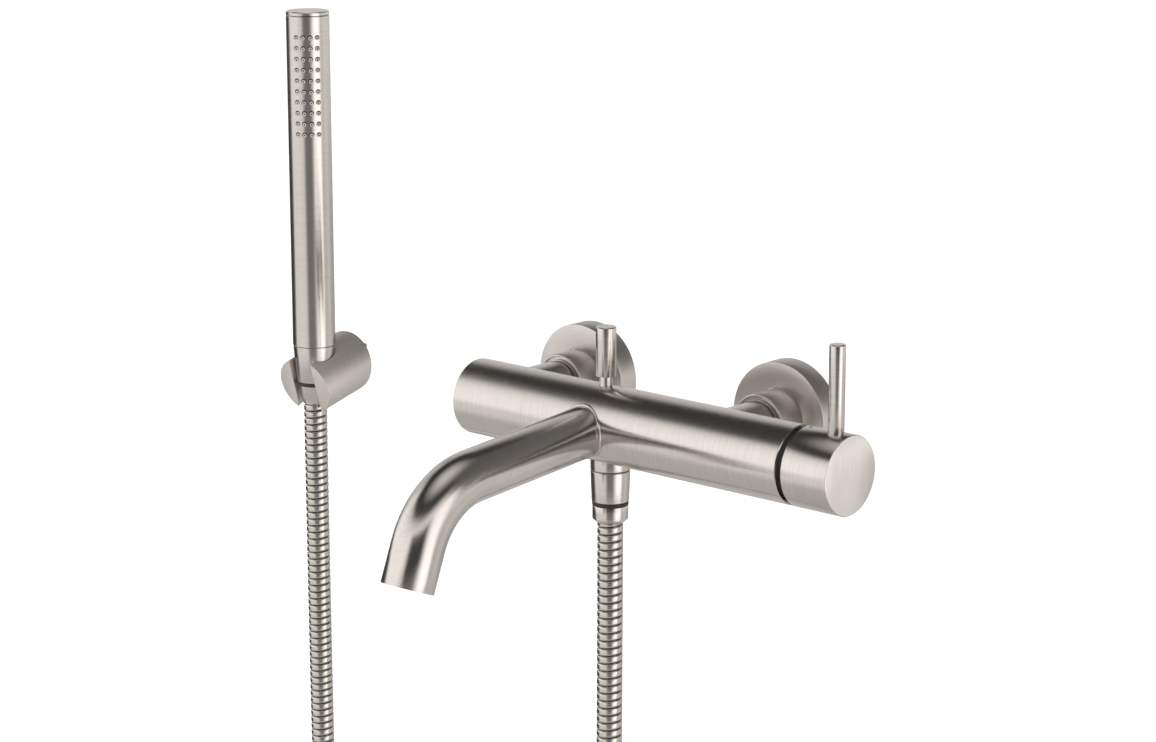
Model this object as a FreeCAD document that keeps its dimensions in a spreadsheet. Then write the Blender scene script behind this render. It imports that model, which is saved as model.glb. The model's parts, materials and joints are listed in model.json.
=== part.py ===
"""Wall mounted bath and shower mixer with a hand shower, its holder and its hose (FreeCAD, millimetres).

The frame has +Z up, +X along the mixer's bar and +Y into the wall.  The wall's face is y = 0, and the
origin lies on it, midway between the two threaded studs that screw into the wall's pipes.
"""
import FreeCAD, Part
import Sketcher
import math
import os
import re

DOC = FreeCAD.newDocument("bath_mixer")
SHEET = DOC.addObject("Spreadsheet::Sheet", "Sizes")

SIZES = {
    # wall connection
    "stud_spacing": 150.0, "stud_radius": 10.48, "stud_length": 18.0, "union_offset": 12.0,
    "union_thread": 13.2, "union_bore": 7.5, "union_step": 11.0, "union_face": 24.0,
    "rosette_radius": 32.3, "rosette_depth": 15.1, "rosette_wall": 1.6, "rosette_hole": 18.0,
    "rosette_gasket": 0.8,
    "nut_radius": 17.2, "nut_back": 12.5, "nut_front": 33.2, "nut_chamfer": 1.0, "nut_lip": 4.2,
    "washer_thick": 2.4, "flange_thick": 2.5, "tail_neck": 12.0, "tail_shank": 10.5,
    "boss_radius": 13.6, "boss_face": 33.8,
    # bar
    "bar_distance": 88.0, "bar_radius": 22.0, "bar_left": 89.0, "bar_right": 147.0,
    "water_bore": 15.0, "cartridge_bore": 19.0, "cartridge_seat": 109.0, "plug_radius": 18.0,
    "plug_thick": 4.0,
    # lever and cartridge
    "cap_gap": 3.4, "cap_length": 30.1, "cap_bore": 20.3, "cap_cup": 11.6, "pivot_radius": 1.5,
    "stem_radius": 4.0, "carrier_radius": 11.6, "carrier_slot": 8.4, "disc_radius": 8.5,
    "collar_radius": 18.5, "pin_offset": 20.0, "pin_radius": 4.4, "pin_top": 69.5,
    "pin_shank": 3.0,
    # diverter, outlet and spout
    "outlet_x": 9.6, "outlet_y": 84.0, "knob_radius": 5.8, "knob_foot": 27.4, "knob_top": 55.6,
    "neck_radius": 3.65, "bonnet_radius": 6.0,
    "collar_outlet": 11.3, "collar_foot": 27.3, "shower_thread": 9.5,
    "spout_radius": 14.6, "spout_wall": 1.5, "spout_run": 110.0, "spout_bend": 48.0,
    "spout_tip": 23.0, "spout_droop": 4.6, "spout_turn": 63.8,
    # hose and its fittings
    "hose_radius": 7.5, "hose_start": 58.5, "hose_end": 47.5, "hose_bore": 4.5,
    # hand shower and holder
    "shower_x": 290.0, "shower_y": 30.0, "tube_radius": 13.6, "tube_wall": 1.4, "tube_foot": 9.0,
    "tube_top": 202.2, "shower_top": 204.6, "nozzle_pitch": 6.77, "nozzle_first": 128.0,
    "nozzle_angle": 19.3, "spray_angle": 42.5, "nozzle_hole": 1.45,
    "holder_width": 22.0, "holder_height": 18.8, "holder_slope": 15.0, "holder_depth": 39.0,
    "holder_rise": 25.0, "holder_slot": 20.0, "holder_gap": 0.6, "screw_spacing": 14.0,
    "screw_radius": 2.0, "screw_reach": 15.0,
}
NAME = re.compile(r"\b(" + "|".join(sorted(SIZES, key=len, reverse=True)) + r")\b")

NODES = []                       # the finished sub-parts, in the order they are made
ALONG_X = FreeCAD.Rotation(FreeCAD.Vector(0, 1, 0), 90)
FROM_WALL = FreeCAD.Rotation(FreeCAD.Vector(1, 0, 0), 90)
UPRIGHT = FreeCAD.Rotation()
AXIS = "union_offset"            # height of the bar's axis over the studs
FULL_TURN = 360.0


def fill_sheet():
    """Write each driving size into its own named cell."""
    for row, (alias, value) in enumerate(SIZES.items(), start=1):
        SHEET.set("A%d" % row, alias)
        SHEET.set("B%d" % row, repr(value))
        SHEET.setAlias("B%d" % row, alias)
    DOC.recompute()


def bound(text):
    """Return a size expression with each alias pointing at the sheet."""
    return NAME.sub(r"Sizes.\1", str(text))


def value_of(text):
    """Return the number that a size expression has now."""
    return float(SHEET.evalExpression(bound(text)))


def place(thing, turn=UPRIGHT, x="0", y="0", z=AXIS):
    """Turn a sub-part and bind its position to the sheet."""
    thing.Placement = FreeCAD.Placement(FreeCAD.Vector(), turn)
    for letter, text in (("x", x), ("y", y), ("z", z)):
        thing.setExpression("Placement.Base." + letter, bound(text))
    return thing


def keep(thing, label):
    """Name a finished sub-part and list it for export."""
    thing.Label = label
    NODES.append(thing)
    return thing


def plane_of(body, role):
    """Return one of the body's own origin planes."""
    return next(item for item in body.Origin.OriginFeatures if item.Role == role)


def sketch_on(body, role, lift="0"):
    """Start a sketch on an origin plane, lifted along the plane's normal."""
    sketch = body.newObject("Sketcher::SketchObject", body.Name + "_sketch")
    sketch.AttachmentSupport = [(plane_of(body, role), "")]
    sketch.MapMode = "FlatFace"
    sketch.setExpression("AttachmentOffset.Base.z", bound(lift))
    return sketch


def bind_point(sketch, index, end, x, y):
    """Tie one end of a line to two size expressions, measured from the origin."""
    for kind, text, axis in (("DistanceX", x, -2), ("DistanceY", y, -1)):
        if str(text) == "0":
            sketch.addConstraint(Sketcher.Constraint("PointOnObject", index, end, axis))
            continue
        number = sketch.addConstraint(
            Sketcher.Constraint(kind, -1, 1, index, end, value_of(text)))
        sketch.setExpression("Constraints[%d]" % number, bound(text))


def outline(sketch, corners):
    """Draw a closed outline whose corners are pairs of size expressions."""
    points = [FreeCAD.Vector(value_of(x), value_of(y), 0) for x, y in corners]
    first = sketch.GeometryCount
    for one, two in zip(points, points[1:] + points[:1]):
        sketch.addGeometry(Part.LineSegment(one, two), False)
    count = len(points)
    for step in range(count):
        sketch.addConstraint(Sketcher.Constraint(
            "Coincident", first + step, 2, first + (step + 1) % count, 1))
    for step, (x, y) in enumerate(corners):
        bind_point(sketch, first + step, 1, x, y)


def circle(sketch, x, y, radius):
    """Draw a circle whose centre and radius are size expressions."""
    centre = FreeCAD.Vector(value_of(x), value_of(y), 0)
    index = sketch.addGeometry(
        Part.Circle(centre, FreeCAD.Vector(0, 0, 1), value_of(radius)), False)
    number = sketch.addConstraint(Sketcher.Constraint("Radius", index, value_of(radius)))
    sketch.setExpression("Constraints[%d]" % number, bound(radius))
    bind_point(sketch, index, 3, x, y)


def turned(name, corners, angle=FULL_TURN):
    """Make a lathe part: the outline gives radius and height, turned about the local Z axis."""
    body = DOC.addObject("PartDesign::Body", name)
    sketch = sketch_on(body, "XZ_Plane")
    outline(sketch, corners)
    solid = body.newObject("PartDesign::Revolution", name + "_turned")
    solid.Profile = sketch
    solid.ReferenceAxis = (sketch, ["V_Axis"])
    solid.Angle = angle
    solid.Midplane = True
    sketch.Visibility = False
    return body


def ring(name, outer, inner, low, high):
    """Make a plain ring or, with no inner radius, a plain disc."""
    return turned(name, [(inner, low), (outer, low), (outer, high), (inner, high)])


def drill(body, centres, radius):
    """Cut round holes right through a lathe part, parallel to its axis."""
    sketch = sketch_on(body, "XY_Plane")
    for x, y in centres:
        circle(sketch, x, y, radius)
    DOC.recompute()
    before = body.Shape.Volume
    hole = body.newObject("PartDesign::Pocket", body.Name + "_holes")
    hole.Profile = sketch
    hole.Type = 1
    hole.Midplane = True
    DOC.recompute()
    assert body.Shape.Volume < before, body.Name + ": the holes cut nothing"


def rod(name, radius, length, turn=UPRIGHT, x="0", y="0", z=AXIS):
    """Make a plain cylinder that starts at a point and runs along the turned Z axis."""
    thing = DOC.addObject("Part::Cylinder", name)
    thing.setExpression("Radius", bound(radius))
    thing.setExpression("Height", bound(length))
    return place(thing, turn, x, y, z)


def block(name, size, x, y, z):
    """Make a plain box from its size and its lowest corner."""
    thing = DOC.addObject("Part::Box", name)
    for side, text in zip(("Length", "Width", "Height"), size):
        thing.setExpression(side, bound(text))
    return place(thing, UPRIGHT, x, y, z)


def joined(name, pieces):
    """Fuse pieces into one solid."""
    thing = DOC.addObject("Part::MultiFuse", name)
    thing.Shapes = pieces
    thing.Refine = True
    return thing


def cut(name, base, tools):
    """Take tools away from a base."""
    thing = DOC.addObject("Part::Cut", name)
    thing.Base = base
    thing.Tool = tools[0] if len(tools) == 1 else joined(name + "_tools", tools)
    thing.Refine = True
    return thing


# ---------------------------------------------------------------- wall connection
BAR_Y = "-bar_distance"


def wall_side(side, sign):
    """Make everything between the wall's pipe and the bar on one side."""
    x = "%d * stud_spacing / 2" % sign

    stud = rod("union_stud_" + side, "stud_radius", "stud_length + 4", FROM_WALL, x, "stud_length", "0")
    foot = rod("union_foot_" + side, "union_thread", "union_step - 4", FROM_WALL, x, "-4", "0")
    web = block("union_web_" + side, ("2 * union_thread", "union_step - 4", "union_offset"),
                x + " - union_thread", "-union_step", "0")
    head = rod("union_head_" + side, "union_thread", "union_face - 4", FROM_WALL, x, "-4")
    bore_in = rod("union_inlet_" + side, "union_bore", "stud_length + 9", FROM_WALL, x,
                  "stud_length + 1", "0")
    bore_out = rod("union_outlet_" + side, "union_bore", "union_face", FROM_WALL, x, "-5.5")
    bore_web = block("union_passage_" + side, ("2 * union_bore - 2", "2.5", "union_offset"),
                     x + " - union_bore + 1", "-8", "0")
    keep(cut("s_union_" + side, joined("union_solid_" + side, [stud, foot, web, head]),
             [bore_in, bore_out, bore_web]), "s_union_" + side)

    gasket = ring("rosette_gasket_" + side, "rosette_radius - 1.2", "rosette_radius - 4", "0",
                  "rosette_gasket")
    keep(place(gasket, FROM_WALL, x), "rosette_gasket_" + side)

    rosette = turned("rosette_" + side, [
        ("rosette_radius", "rosette_gasket"), ("rosette_radius", "rosette_depth - 0.5"),
        ("rosette_radius - 0.5", "rosette_depth"), ("rosette_hole", "rosette_depth"),
        ("rosette_hole", "rosette_depth - rosette_wall"),
        ("rosette_radius - rosette_wall", "rosette_depth - rosette_wall"),
        ("rosette_radius - rosette_wall", "rosette_gasket + 1"),
        ("rosette_radius - 4.2", "rosette_gasket + 1"), ("rosette_radius - 4.2", "rosette_gasket")])
    keep(place(rosette, FROM_WALL, x), "rosette_" + side)

    nut = turned("union_nut_" + side, [
        ("union_thread + 0.05", "nut_back"), ("nut_radius - 0.6", "nut_back"),
        ("nut_radius", "nut_back + 0.6"), ("nut_radius", "nut_front - nut_chamfer"),
        ("nut_radius - nut_chamfer", "nut_front"), ("tail_neck + 0.2", "nut_front"),
        ("tail_neck + 0.2", "nut_front - nut_lip"),
        ("union_thread + 0.05", "nut_front - nut_lip")])
    keep(place(nut, FROM_WALL, x), "union_nut_" + side)

    washer = ring("union_washer_" + side, "union_thread - 0.3", "union_bore", "union_face",
                  "union_face + washer_thick")
    keep(place(washer, FROM_WALL, x), "union_washer_" + side)

    flange = "union_face + washer_thick + flange_thick"
    tail = turned("inlet_tail_" + side, [
        ("union_bore", "union_face + washer_thick"), ("union_thread - 0.1", "union_face + washer_thick"),
        ("union_thread - 0.1", flange), ("tail_neck", flange), ("tail_neck", "boss_face"),
        ("tail_shank", "boss_face"), ("tail_shank", "boss_face + 16"), ("union_bore", "boss_face + 16")])
    keep(place(tail, FROM_WALL, x), "inlet_tail_" + side)

    valve = turned("check_valve_" + side, [
        ("0", "boss_face - 3"), ("5", "boss_face - 3"), ("5", "boss_face + 1"),
        ("union_bore - 0.05", "boss_face + 1"), ("union_bore - 0.05", "boss_face + 9"),
        ("0", "boss_face + 9")])
    keep(place(valve, FROM_WALL, x), "check_valve_" + side)

    boss = rod("boss_" + side, "boss_radius", "bar_distance - boss_face", FROM_WALL, x, "-boss_face")
    socket = rod("boss_socket_" + side, "tail_shank + 0.05", "17", FROM_WALL, x, "-boss_face + 1")
    passage = rod("boss_passage_" + side, "union_bore", "bar_distance - boss_face", FROM_WALL, x,
                  "-boss_face")
    return boss, [socket, passage]


def mixer_bar():
    """Make the bar's tube with its rear bosses, ports and end plug."""
    solids = [rod("bar", "bar_radius", "bar_left + bar_right", ALONG_X, "-bar_left", BAR_Y)]
    tools = [
        rod("water_bore", "water_bore", "bar_left + cartridge_seat + 1", ALONG_X, "-bar_left", BAR_Y),
        rod("cartridge_bore", "cartridge_bore", "60", ALONG_X, "cartridge_seat", BAR_Y),
        rod("plug_bore", "plug_radius + 0.05", "plug_thick + 1", ALONG_X, "-bar_left - 1", BAR_Y),
        rod("diverter_port", "neck_radius + 0.25", "20", UPRIGHT, "outlet_x", BAR_Y,
            "union_offset + 10"),
        rod("outlet_port", "shower_thread - 1.45", "25", UPRIGHT, "outlet_x", "-outlet_y",
            "union_offset - 30"),
        rod("spout_port", "10", "30", FROM_WALL, "outlet_x", BAR_Y),
    ]
    for side, sign in (("left", -1), ("right", 1)):
        boss, holes = wall_side(side, sign)
        solids.append(boss)
        tools.extend(holes)
    keep(cut("mixer_body", joined("bar_solid", solids), tools), "mixer_body")
    plug = turned("body_end_plug", [
        ("0", "-bar_left"), ("plug_radius - 0.4", "-bar_left"), ("plug_radius", "-bar_left + 0.4"),
        ("plug_radius", "-bar_left + plug_thick"), ("0", "-bar_left + plug_thick")])
    keep(place(plug, ALONG_X, y=BAR_Y), "body_end_plug")


# ---------------------------------------------------------------- lever and cartridge
PIVOT = "bar_right + cap_gap"             # the lever tilts about this point of the bar's axis


def on_bar(thing, label):
    """Place a part on the bar's axis and keep it."""
    return keep(place(thing, ALONG_X, y=BAR_Y), label)


def ports(radius_from_axis):
    """Return the centres of three water ports, evenly round an axis."""
    return [("%g" % (radius_from_axis * math.cos(math.radians(angle))),
             "%g" % (radius_from_axis * math.sin(math.radians(angle)))) for angle in (90, 210, 330)]


def cartridge():
    """Make the fixed cartridge, its ceramic discs and the ring that clamps it."""
    housing = turned("cartridge_housing", [
        ("0", "110"), ("17.8", "110"), ("17.8", "131.8"), ("13.8", "131.8"), ("13.8", "143"),
        ("carrier_radius + 0.4", "143"), ("carrier_radius + 0.4", "124.5"), ("13.4", "124.5"),
        ("13.4", "113"), ("0", "113")])
    drill(housing, ports(7.0), "2.6")
    on_bar(housing, "cartridge_housing")
    fixed = ring("ceramic_disc_fixed", "13.3", "0", "113", "117")
    drill(fixed, ports(7.0), "2.4")
    on_bar(fixed, "ceramic_disc_fixed")
    seal = ring("cartridge_seal", "14.4", "12.6", "109", "110")
    on_bar(seal, "cartridge_seal")
    clamp = ring("cartridge_clamp_ring", "cartridge_bore - 0.05", "13.9", "131.9", "139.5")
    on_bar(clamp, "cartridge_clamp_ring")
    collar = turned("gap_collar", [
        ("16.2", "140"), ("collar_radius", "140"), ("collar_radius", PIVOT + " + 2.2"),
        ("collar_radius - 0.8", PIVOT + " + 3"), ("16.2", PIVOT + " + 3")])
    on_bar(collar, "gap_collar")


def swivel():
    """Make the cartridge's turning carrier, its cross pin and the shifting ceramic disc."""
    carrier = place(turned("carrier_blank", [
        ("0", "121.8"), ("carrier_radius - 0.6", "121.8"), ("carrier_radius", "122.6"),
        ("carrier_radius", PIVOT + " + 3.5"), ("0", PIVOT + " + 3.5")]), ALONG_X, y=BAR_Y)
    slot = block("carrier_slot_tool", ("40", "carrier_slot + 0.6", "2 * carrier_slot"), "120",
                 BAR_Y + " - carrier_slot / 2 - 0.3", "union_offset - carrier_slot")
    hole = rod("carrier_pin_hole", "pivot_radius", "30", FROM_WALL, PIVOT, BAR_Y + " + 15")
    keep(cut("cartridge_carrier", carrier, [slot, hole]), "cartridge_carrier")
    pin = rod("cartridge_pivot_pin", "pivot_radius", "2 * carrier_radius - 2.4", FROM_WALL, PIVOT,
              BAR_Y + " + carrier_radius - 1.2")
    keep(pin, "cartridge_pivot_pin")
    disc = turned("ceramic_disc_moving", [
        ("3.1", "121.3"), ("disc_radius", "121.3"), ("disc_radius", "117.3"), ("0", "117.3"),
        ("0", "118.2"), ("3.1", "118.2")])
    on_bar(disc, "ceramic_disc_moving")


def lever():
    """Make the tilting stem, the round cap, the lever pin, the set screw and the mark."""
    stem = place(turned("stem_blank", [
        ("0", "118.6"), ("2.3", "118.8"), ("2.3", "124"), ("3.4", "126"), ("3.4", "144"),
        ("stem_radius", "145"), ("stem_radius", "172.5"), ("0", "172.5")]), ALONG_X, y=BAR_Y)
    eye = rod("stem_eye", "pivot_radius + 0.06", "20", FROM_WALL, PIVOT, BAR_Y + " + 10")
    keep(cut("cartridge_stem", stem, [eye]), "cartridge_stem")

    end = PIVOT + " + cap_length"
    blank = place(turned("cap_blank", [
        ("cap_bore", PIVOT), ("bar_radius - 0.3", PIVOT), ("bar_radius", PIVOT + " + 0.3"),
        ("bar_radius", end + " - 0.5"), ("bar_radius - 0.5", end), ("0", end), ("0", "172.6"),
        ("stem_radius + 0.05", "172.6"), ("stem_radius + 0.05", PIVOT + " + cap_cup"),
        ("cap_bore", PIVOT + " + cap_cup")]), ALONG_X, y=BAR_Y)
    pin_hole = rod("pin_hole", "pin_shank + 0.05", "30", UPRIGHT, PIVOT + " + pin_offset", BAR_Y,
                   "union_offset + stem_radius - 0.5")
    pin_seat = rod("pin_seat", "pin_radius + 0.1", "30", UPRIGHT, PIVOT + " + pin_offset", BAR_Y,
                   "union_offset + bar_radius - 2.5")
    screw_hole = rod("screw_hole", "2.55", "30", UPRIGHT, PIVOT + " + pin_offset - 4", BAR_Y,
                     "union_offset - 30")
    mark_hole = rod("mark_hole", "0.85", "2", UPRIGHT, PIVOT + " + 3.4", BAR_Y,
                    "union_offset + bar_radius - 0.8")
    keep(cut("handle_cap", blank, [pin_hole, pin_seat, screw_hole, mark_hole]), "handle_cap")

    pin = turned("lever_pin", [
        ("0", "stem_radius + 0.1"), ("pin_shank", "stem_radius + 0.1"),
        ("pin_shank", "bar_radius - 2.4"), ("pin_radius", "bar_radius - 2.4"),
        ("pin_radius", "pin_top - 0.4"), ("pin_radius - 0.4", "pin_top"), ("0", "pin_top")])
    keep(place(pin, UPRIGHT, PIVOT + " + pin_offset", BAR_Y), "lever_pin")
    screw = rod("handle_set_screw", "2.5", "12", UPRIGHT, PIVOT + " + pin_offset - 4", BAR_Y,
                "union_offset - stem_radius - 12.1")
    keep(screw, "handle_set_screw")
    mark = rod("temperature_mark", "0.8", "0.85", UPRIGHT, PIVOT + " + 3.4", BAR_Y,
               "union_offset + bar_radius - 0.8")
    keep(mark, "temperature_mark")


# ---------------------------------------------------------------- diverter, outlet and spout
def at_outlet(thing, label, y=BAR_Y):
    """Place a part on the upright axis of the diverter or of the shower outlet."""
    return keep(place(thing, UPRIGHT, "outlet_x", y), label)


def diverter():
    """Make the pull-up diverter: knob, stem, bonnet, spring and valve disc."""
    knob = turned("diverter_knob", [
        ("neck_radius + 0.05", "knob_foot"), ("knob_radius - 0.3", "knob_foot"),
        ("knob_radius", "knob_foot + 0.3"), ("knob_radius", "knob_top - 0.5"),
        ("knob_radius - 0.5", "knob_top"), ("0", "knob_top"), ("0", "knob_foot + 12"),
        ("neck_radius + 0.05", "knob_foot + 12")])
    at_outlet(knob, "diverter_knob")
    stem = turned("diverter_stem", [
        ("0", "knob_foot + 11.9"), ("neck_radius", "knob_foot + 11.9"), ("neck_radius", "-7.9"),
        ("2", "-7.9"), ("2", "-10.9"), ("0", "-10.9")])
    at_outlet(stem, "diverter_stem")
    bonnet = turned("diverter_bonnet", [
        ("neck_radius + 0.08", "5.5"), ("bonnet_radius - 1", "5.5"), ("bonnet_radius", "6.5"),
        ("bonnet_radius", "13.6"), ("neck_radius + 0.08", "13.6")])
    at_outlet(bonnet, "diverter_bonnet")
    valve = turned("diverter_valve", [
        ("2.05", "-8"), ("6.4", "-8"), ("6.4", "-11"), ("2.05", "-11")])
    at_outlet(valve, "diverter_valve")
    spring = DOC.addObject("PartDesign::Body", "diverter_spring")
    wire = sketch_on(spring, "XZ_Plane")
    circle(wire, "neck_radius + 1.2", "-7.3", "0.5")
    coil = spring.newObject("PartDesign::AdditiveHelix", "spring_coil")
    coil.Profile = wire
    coil.ReferenceAxis = (wire, ["V_Axis"])
    coil.Mode = 0
    coil.Pitch = 3.0
    coil.Height = 12.0
    at_outlet(spring, "diverter_spring")


def shower_outlet():
    """Make the outlet below the bar and the hose's fitting on it, from the top down."""
    outlet_y = "-outlet_y"
    blank = place(turned("outlet_blank", [
        ("6", "-15.4"), ("shower_thread - 1.5", "-15.4"), ("shower_thread - 1.5", "-19"),
        ("collar_outlet", "-19"), ("collar_outlet", "0.4 - collar_foot"),
        ("collar_outlet - 0.4", "-collar_foot"), ("shower_thread", "-collar_foot"),
        ("shower_thread", "-38.8"), ("6", "-38.8")]), UPRIGHT, "outlet_x", outlet_y)
    saddle = rod("outlet_saddle", "bar_radius + 0.05", "60", ALONG_X, "outlet_x - 30", BAR_Y)
    stub = place(ring("outlet_stub", "shower_thread - 1.5", "6", "-15.4", "-23"), UPRIGHT,
                 "outlet_x", outlet_y)
    keep(joined("outlet_collar", [cut("outlet_shaped", blank, [saddle]), stub]), "outlet_collar")

    nut = turned("hose_nut", [
        ("shower_thread + 0.05", "-27.7"), ("collar_outlet - 0.3", "-27.7"),
        ("collar_outlet", "-28.1"), ("collar_outlet - 0.7", "-45.4"),
        ("collar_outlet - 1.1", "-45.8"), ("7.9", "-45.8"), ("7.9", "-43.2"),
        ("shower_thread + 0.05", "-43.2")])
    at_outlet(nut, "hose_nut", outlet_y)
    at_outlet(ring("hose_washer", "shower_thread - 0.2", "hose_bore", "-41", "-38.9"),
              "hose_washer", outlet_y)
    ferrule = turned("hose_ferrule", [
        ("hose_bore", "-41.1"), ("shower_thread - 0.1", "-41.1"), ("shower_thread - 0.1", "-43"),
        ("7.7", "-43"), ("7.7", "-48.1"), ("10.2", "-48.1"), ("10.2", "-56"),
        ("hose_radius", "-hose_start"), ("hose_bore", "-hose_start")])
    at_outlet(ferrule, "hose_ferrule", outlet_y)
    at_outlet(ring("hose_ring_seal", "10.4", "7.75", "-48", "-45.9"), "hose_ring_seal", outlet_y)


def spout():
    """Make the bent spout and the aerator in its mouth."""
    body = DOC.addObject("PartDesign::Body", "spout_bent")
    start = math.radians(-value_of("spout_droop"))
    turn = math.radians(value_of("spout_turn"))
    run, bend, tip = value_of("spout_run"), value_of("spout_bend"), value_of("spout_tip")
    knee = FreeCAD.Vector(run * math.cos(start), run * math.sin(start), 0)
    hub = knee + FreeCAD.Vector(math.sin(start), -math.cos(start), 0) * bend
    from_angle = start + math.pi / 2
    wrist = hub + FreeCAD.Vector(math.cos(from_angle - turn), math.sin(from_angle - turn), 0) * bend
    mouth_way = FreeCAD.Vector(math.cos(start - turn), math.sin(start - turn), 0)

    path = sketch_on(body, "XZ_Plane")
    path.addGeometry(Part.LineSegment(FreeCAD.Vector(), knee), False)
    path.addGeometry(Part.ArcOfCircle(Part.Circle(hub, FreeCAD.Vector(0, 0, 1), bend),
                                      from_angle - turn, from_angle), False)
    path.addGeometry(Part.LineSegment(wrist, wrist + mouth_way * tip), False)
    add = path.addConstraint
    add(Sketcher.Constraint("Coincident", 0, 1, -1, 1))
    add(Sketcher.Constraint("Tangent", 0, 2, 1, 2))
    add(Sketcher.Constraint("Tangent", 1, 1, 2, 1))
    for kind, line, text in (("Distance", 0, "spout_run"), ("Distance", 2, "spout_tip"),
                             ("Radius", 1, "spout_bend")):
        number = add(Sketcher.Constraint(kind, line, value_of(text)))
        path.setExpression("Constraints[%d]" % number, bound(text))
    for line, text in ((0, "-spout_droop"), (2, "-spout_droop - spout_turn")):
        number = add(Sketcher.Constraint("Angle", line, math.radians(value_of(text))))
        path.setExpression("Constraints[%d]" % number, "1 deg * (%s)" % bound(text))

    section = sketch_on(body, "YZ_Plane")
    for radius in ("spout_radius", "spout_radius - spout_wall"):
        circle(section, "0", "0", radius)
    pipe = body.newObject("PartDesign::AdditivePipe", "spout_pipe")
    pipe.Profile = section
    pipe.Spine = path
    DOC.recompute()
    facing = FreeCAD.Rotation(FreeCAD.Vector(0, 0, 1), -90)
    place(body, facing, "outlet_x", BAR_Y)
    saddle = rod("spout_saddle", "bar_radius + 0.05", "60", ALONG_X, "outlet_x - 30", BAR_Y)
    keep(cut("spout_tube", body, [saddle]), "spout_tube")

    mouth = wrist + mouth_way * tip
    mouth_axis = facing.multVec(FreeCAD.Vector(mouth_way.x, 0, mouth_way.y))
    along = FreeCAD.Rotation(FreeCAD.Vector(0, 0, 1), mouth_axis)
    inside = "spout_radius - spout_wall - 0.05"
    for label, corners in (
            ("aerator_housing", [("9.6", "-10"), (inside, "-10"), (inside, "-0.6"), (inside + " - 0.5", "0"),
                                 ("10.8", "0"), ("10.8", "-8"), ("9.6", "-8")]),
            ("aerator_insert", [("0", "-7.9"), ("10.7", "-7.9"), ("10.7", "-1.4"), ("0", "-1.4")])):
        part = turned(label, corners)
        place(part, along, "outlet_x", "-bar_distance - %g" % mouth.x, "union_offset + %g" % mouth.y)
        keep(part, label)


# ---------------------------------------------------------------- hand shower
SPRAY = FreeCAD.Rotation(FreeCAD.Vector(0, 0, 1), SIZES["spray_angle"] + 1.5 * SIZES["nozzle_angle"])
NOZZLE_ROWS = 10
NOZZLE_COLUMNS = 4


def in_shower(thing, label, turn=UPRIGHT):
    """Place a part on the hand shower's axis and keep it."""
    return keep(place(thing, turn, "-shower_x", "-shower_y"), label)


def nozzle_rows(body, kind, name, radius, lift, length):
    """Add or cut the four columns of round nozzles that face local -Y, fanned round the axis."""
    sketch = sketch_on(body, "XZ_Plane", lift)
    for row in range(NOZZLE_ROWS):
        circle(sketch, "0", "nozzle_first + %d * nozzle_pitch" % row, radius)
    DOC.recompute()
    feature = body.newObject("PartDesign::" + kind, name)
    feature.Profile = sketch
    feature.setExpression("Length", bound(length))
    feature.Reversed = kind == "Pocket"
    DOC.recompute()
    fan = body.newObject("PartDesign::PolarPattern", name + "_fan")
    fan.Originals = [feature]
    fan.Axis = (body.Origin.OriginFeatures[2], [""])
    fan.Angle = (NOZZLE_COLUMNS - 1) * SIZES["nozzle_angle"]
    fan.Reversed = True
    fan.Occurrences = NOZZLE_COLUMNS
    body.Tip = fan
    DOC.recompute()


def hand_shower():
    """Make the stick-shaped hand shower with its nozzles and its tapered foot."""
    inner = "tube_radius - tube_wall"
    tube = ring("hand_shower_tube", "tube_radius", inner, "-tube_foot", "tube_top - 0.3")
    nozzle_rows(tube, "Pocket", "nozzle_holes", "nozzle_hole", "0", "tube_radius + 1")
    in_shower(tube, "hand_shower_tube", SPRAY)

    cap = turned("hand_shower_cap", [
        ("0", "tube_top - 6"), (inner + " - 0.1", "tube_top - 6"), (inner + " - 0.1", "tube_top"),
        ("tube_radius", "tube_top"), ("tube_radius", "shower_top - 0.5"),
        ("tube_radius - 0.5", "shower_top"), ("0", "shower_top")])
    in_shower(cap, "hand_shower_cap")

    sleeve = turned("nozzle_sleeve", [
        ("10.5", "nozzle_first - 6"), ("12", "nozzle_first - 6"),
        ("12", "nozzle_first + 9 * nozzle_pitch + 6"),
        ("10.5", "nozzle_first + 9 * nozzle_pitch + 6")])
    nozzle_rows(sleeve, "Pad", "nozzles", "nozzle_hole - 0.15", "11", "1.9")
    in_shower(sleeve, "nozzle_sleeve", SPRAY)

    core = turned("hand_shower_core", [
        ("8.4", "-tube_foot + 14"), ("10.4", "-tube_foot + 14"), ("10.4", "tube_top - 6.2"),
        ("0", "tube_top - 6.2"), ("0", "tube_top - 8.2"), ("8.4", "tube_top - 8.2")])
    in_shower(core, "hand_shower_core")

    foot = turned("hand_shower_foot", [
        ("hose_bore", "5"), (inner + " - 0.05", "5"), (inner + " - 0.05", "-9.4"),
        ("tube_radius - 0.3", "-9.4"), ("tube_radius - 0.3", "-11"), ("11.5", "-32.9"),
        ("8.2", "-32.9"), ("8.2", "-39.9"), ("hose_bore", "-39.9")])
    in_shower(foot, "hand_shower_foot")
    in_shower(ring("foot_ring_seal", "11.6", "8.25", "-35.1", "-33"), "foot_ring_seal")
    in_shower(ring("foot_washer", "8.1", "hose_bore", "-41.4", "-40"), "foot_washer")
    cone = turned("hose_cone", [
        ("8.25", "-35.2"), ("10.9", "-35.2"), ("9.4", "-43"), ("hose_radius", "-46.6"),
        ("hose_radius", "-hose_end"), ("hose_bore", "-hose_end"), ("hose_bore", "-41.5"),
        ("8.25", "-41.5")])
    in_shower(cone, "hose_cone")


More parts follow.
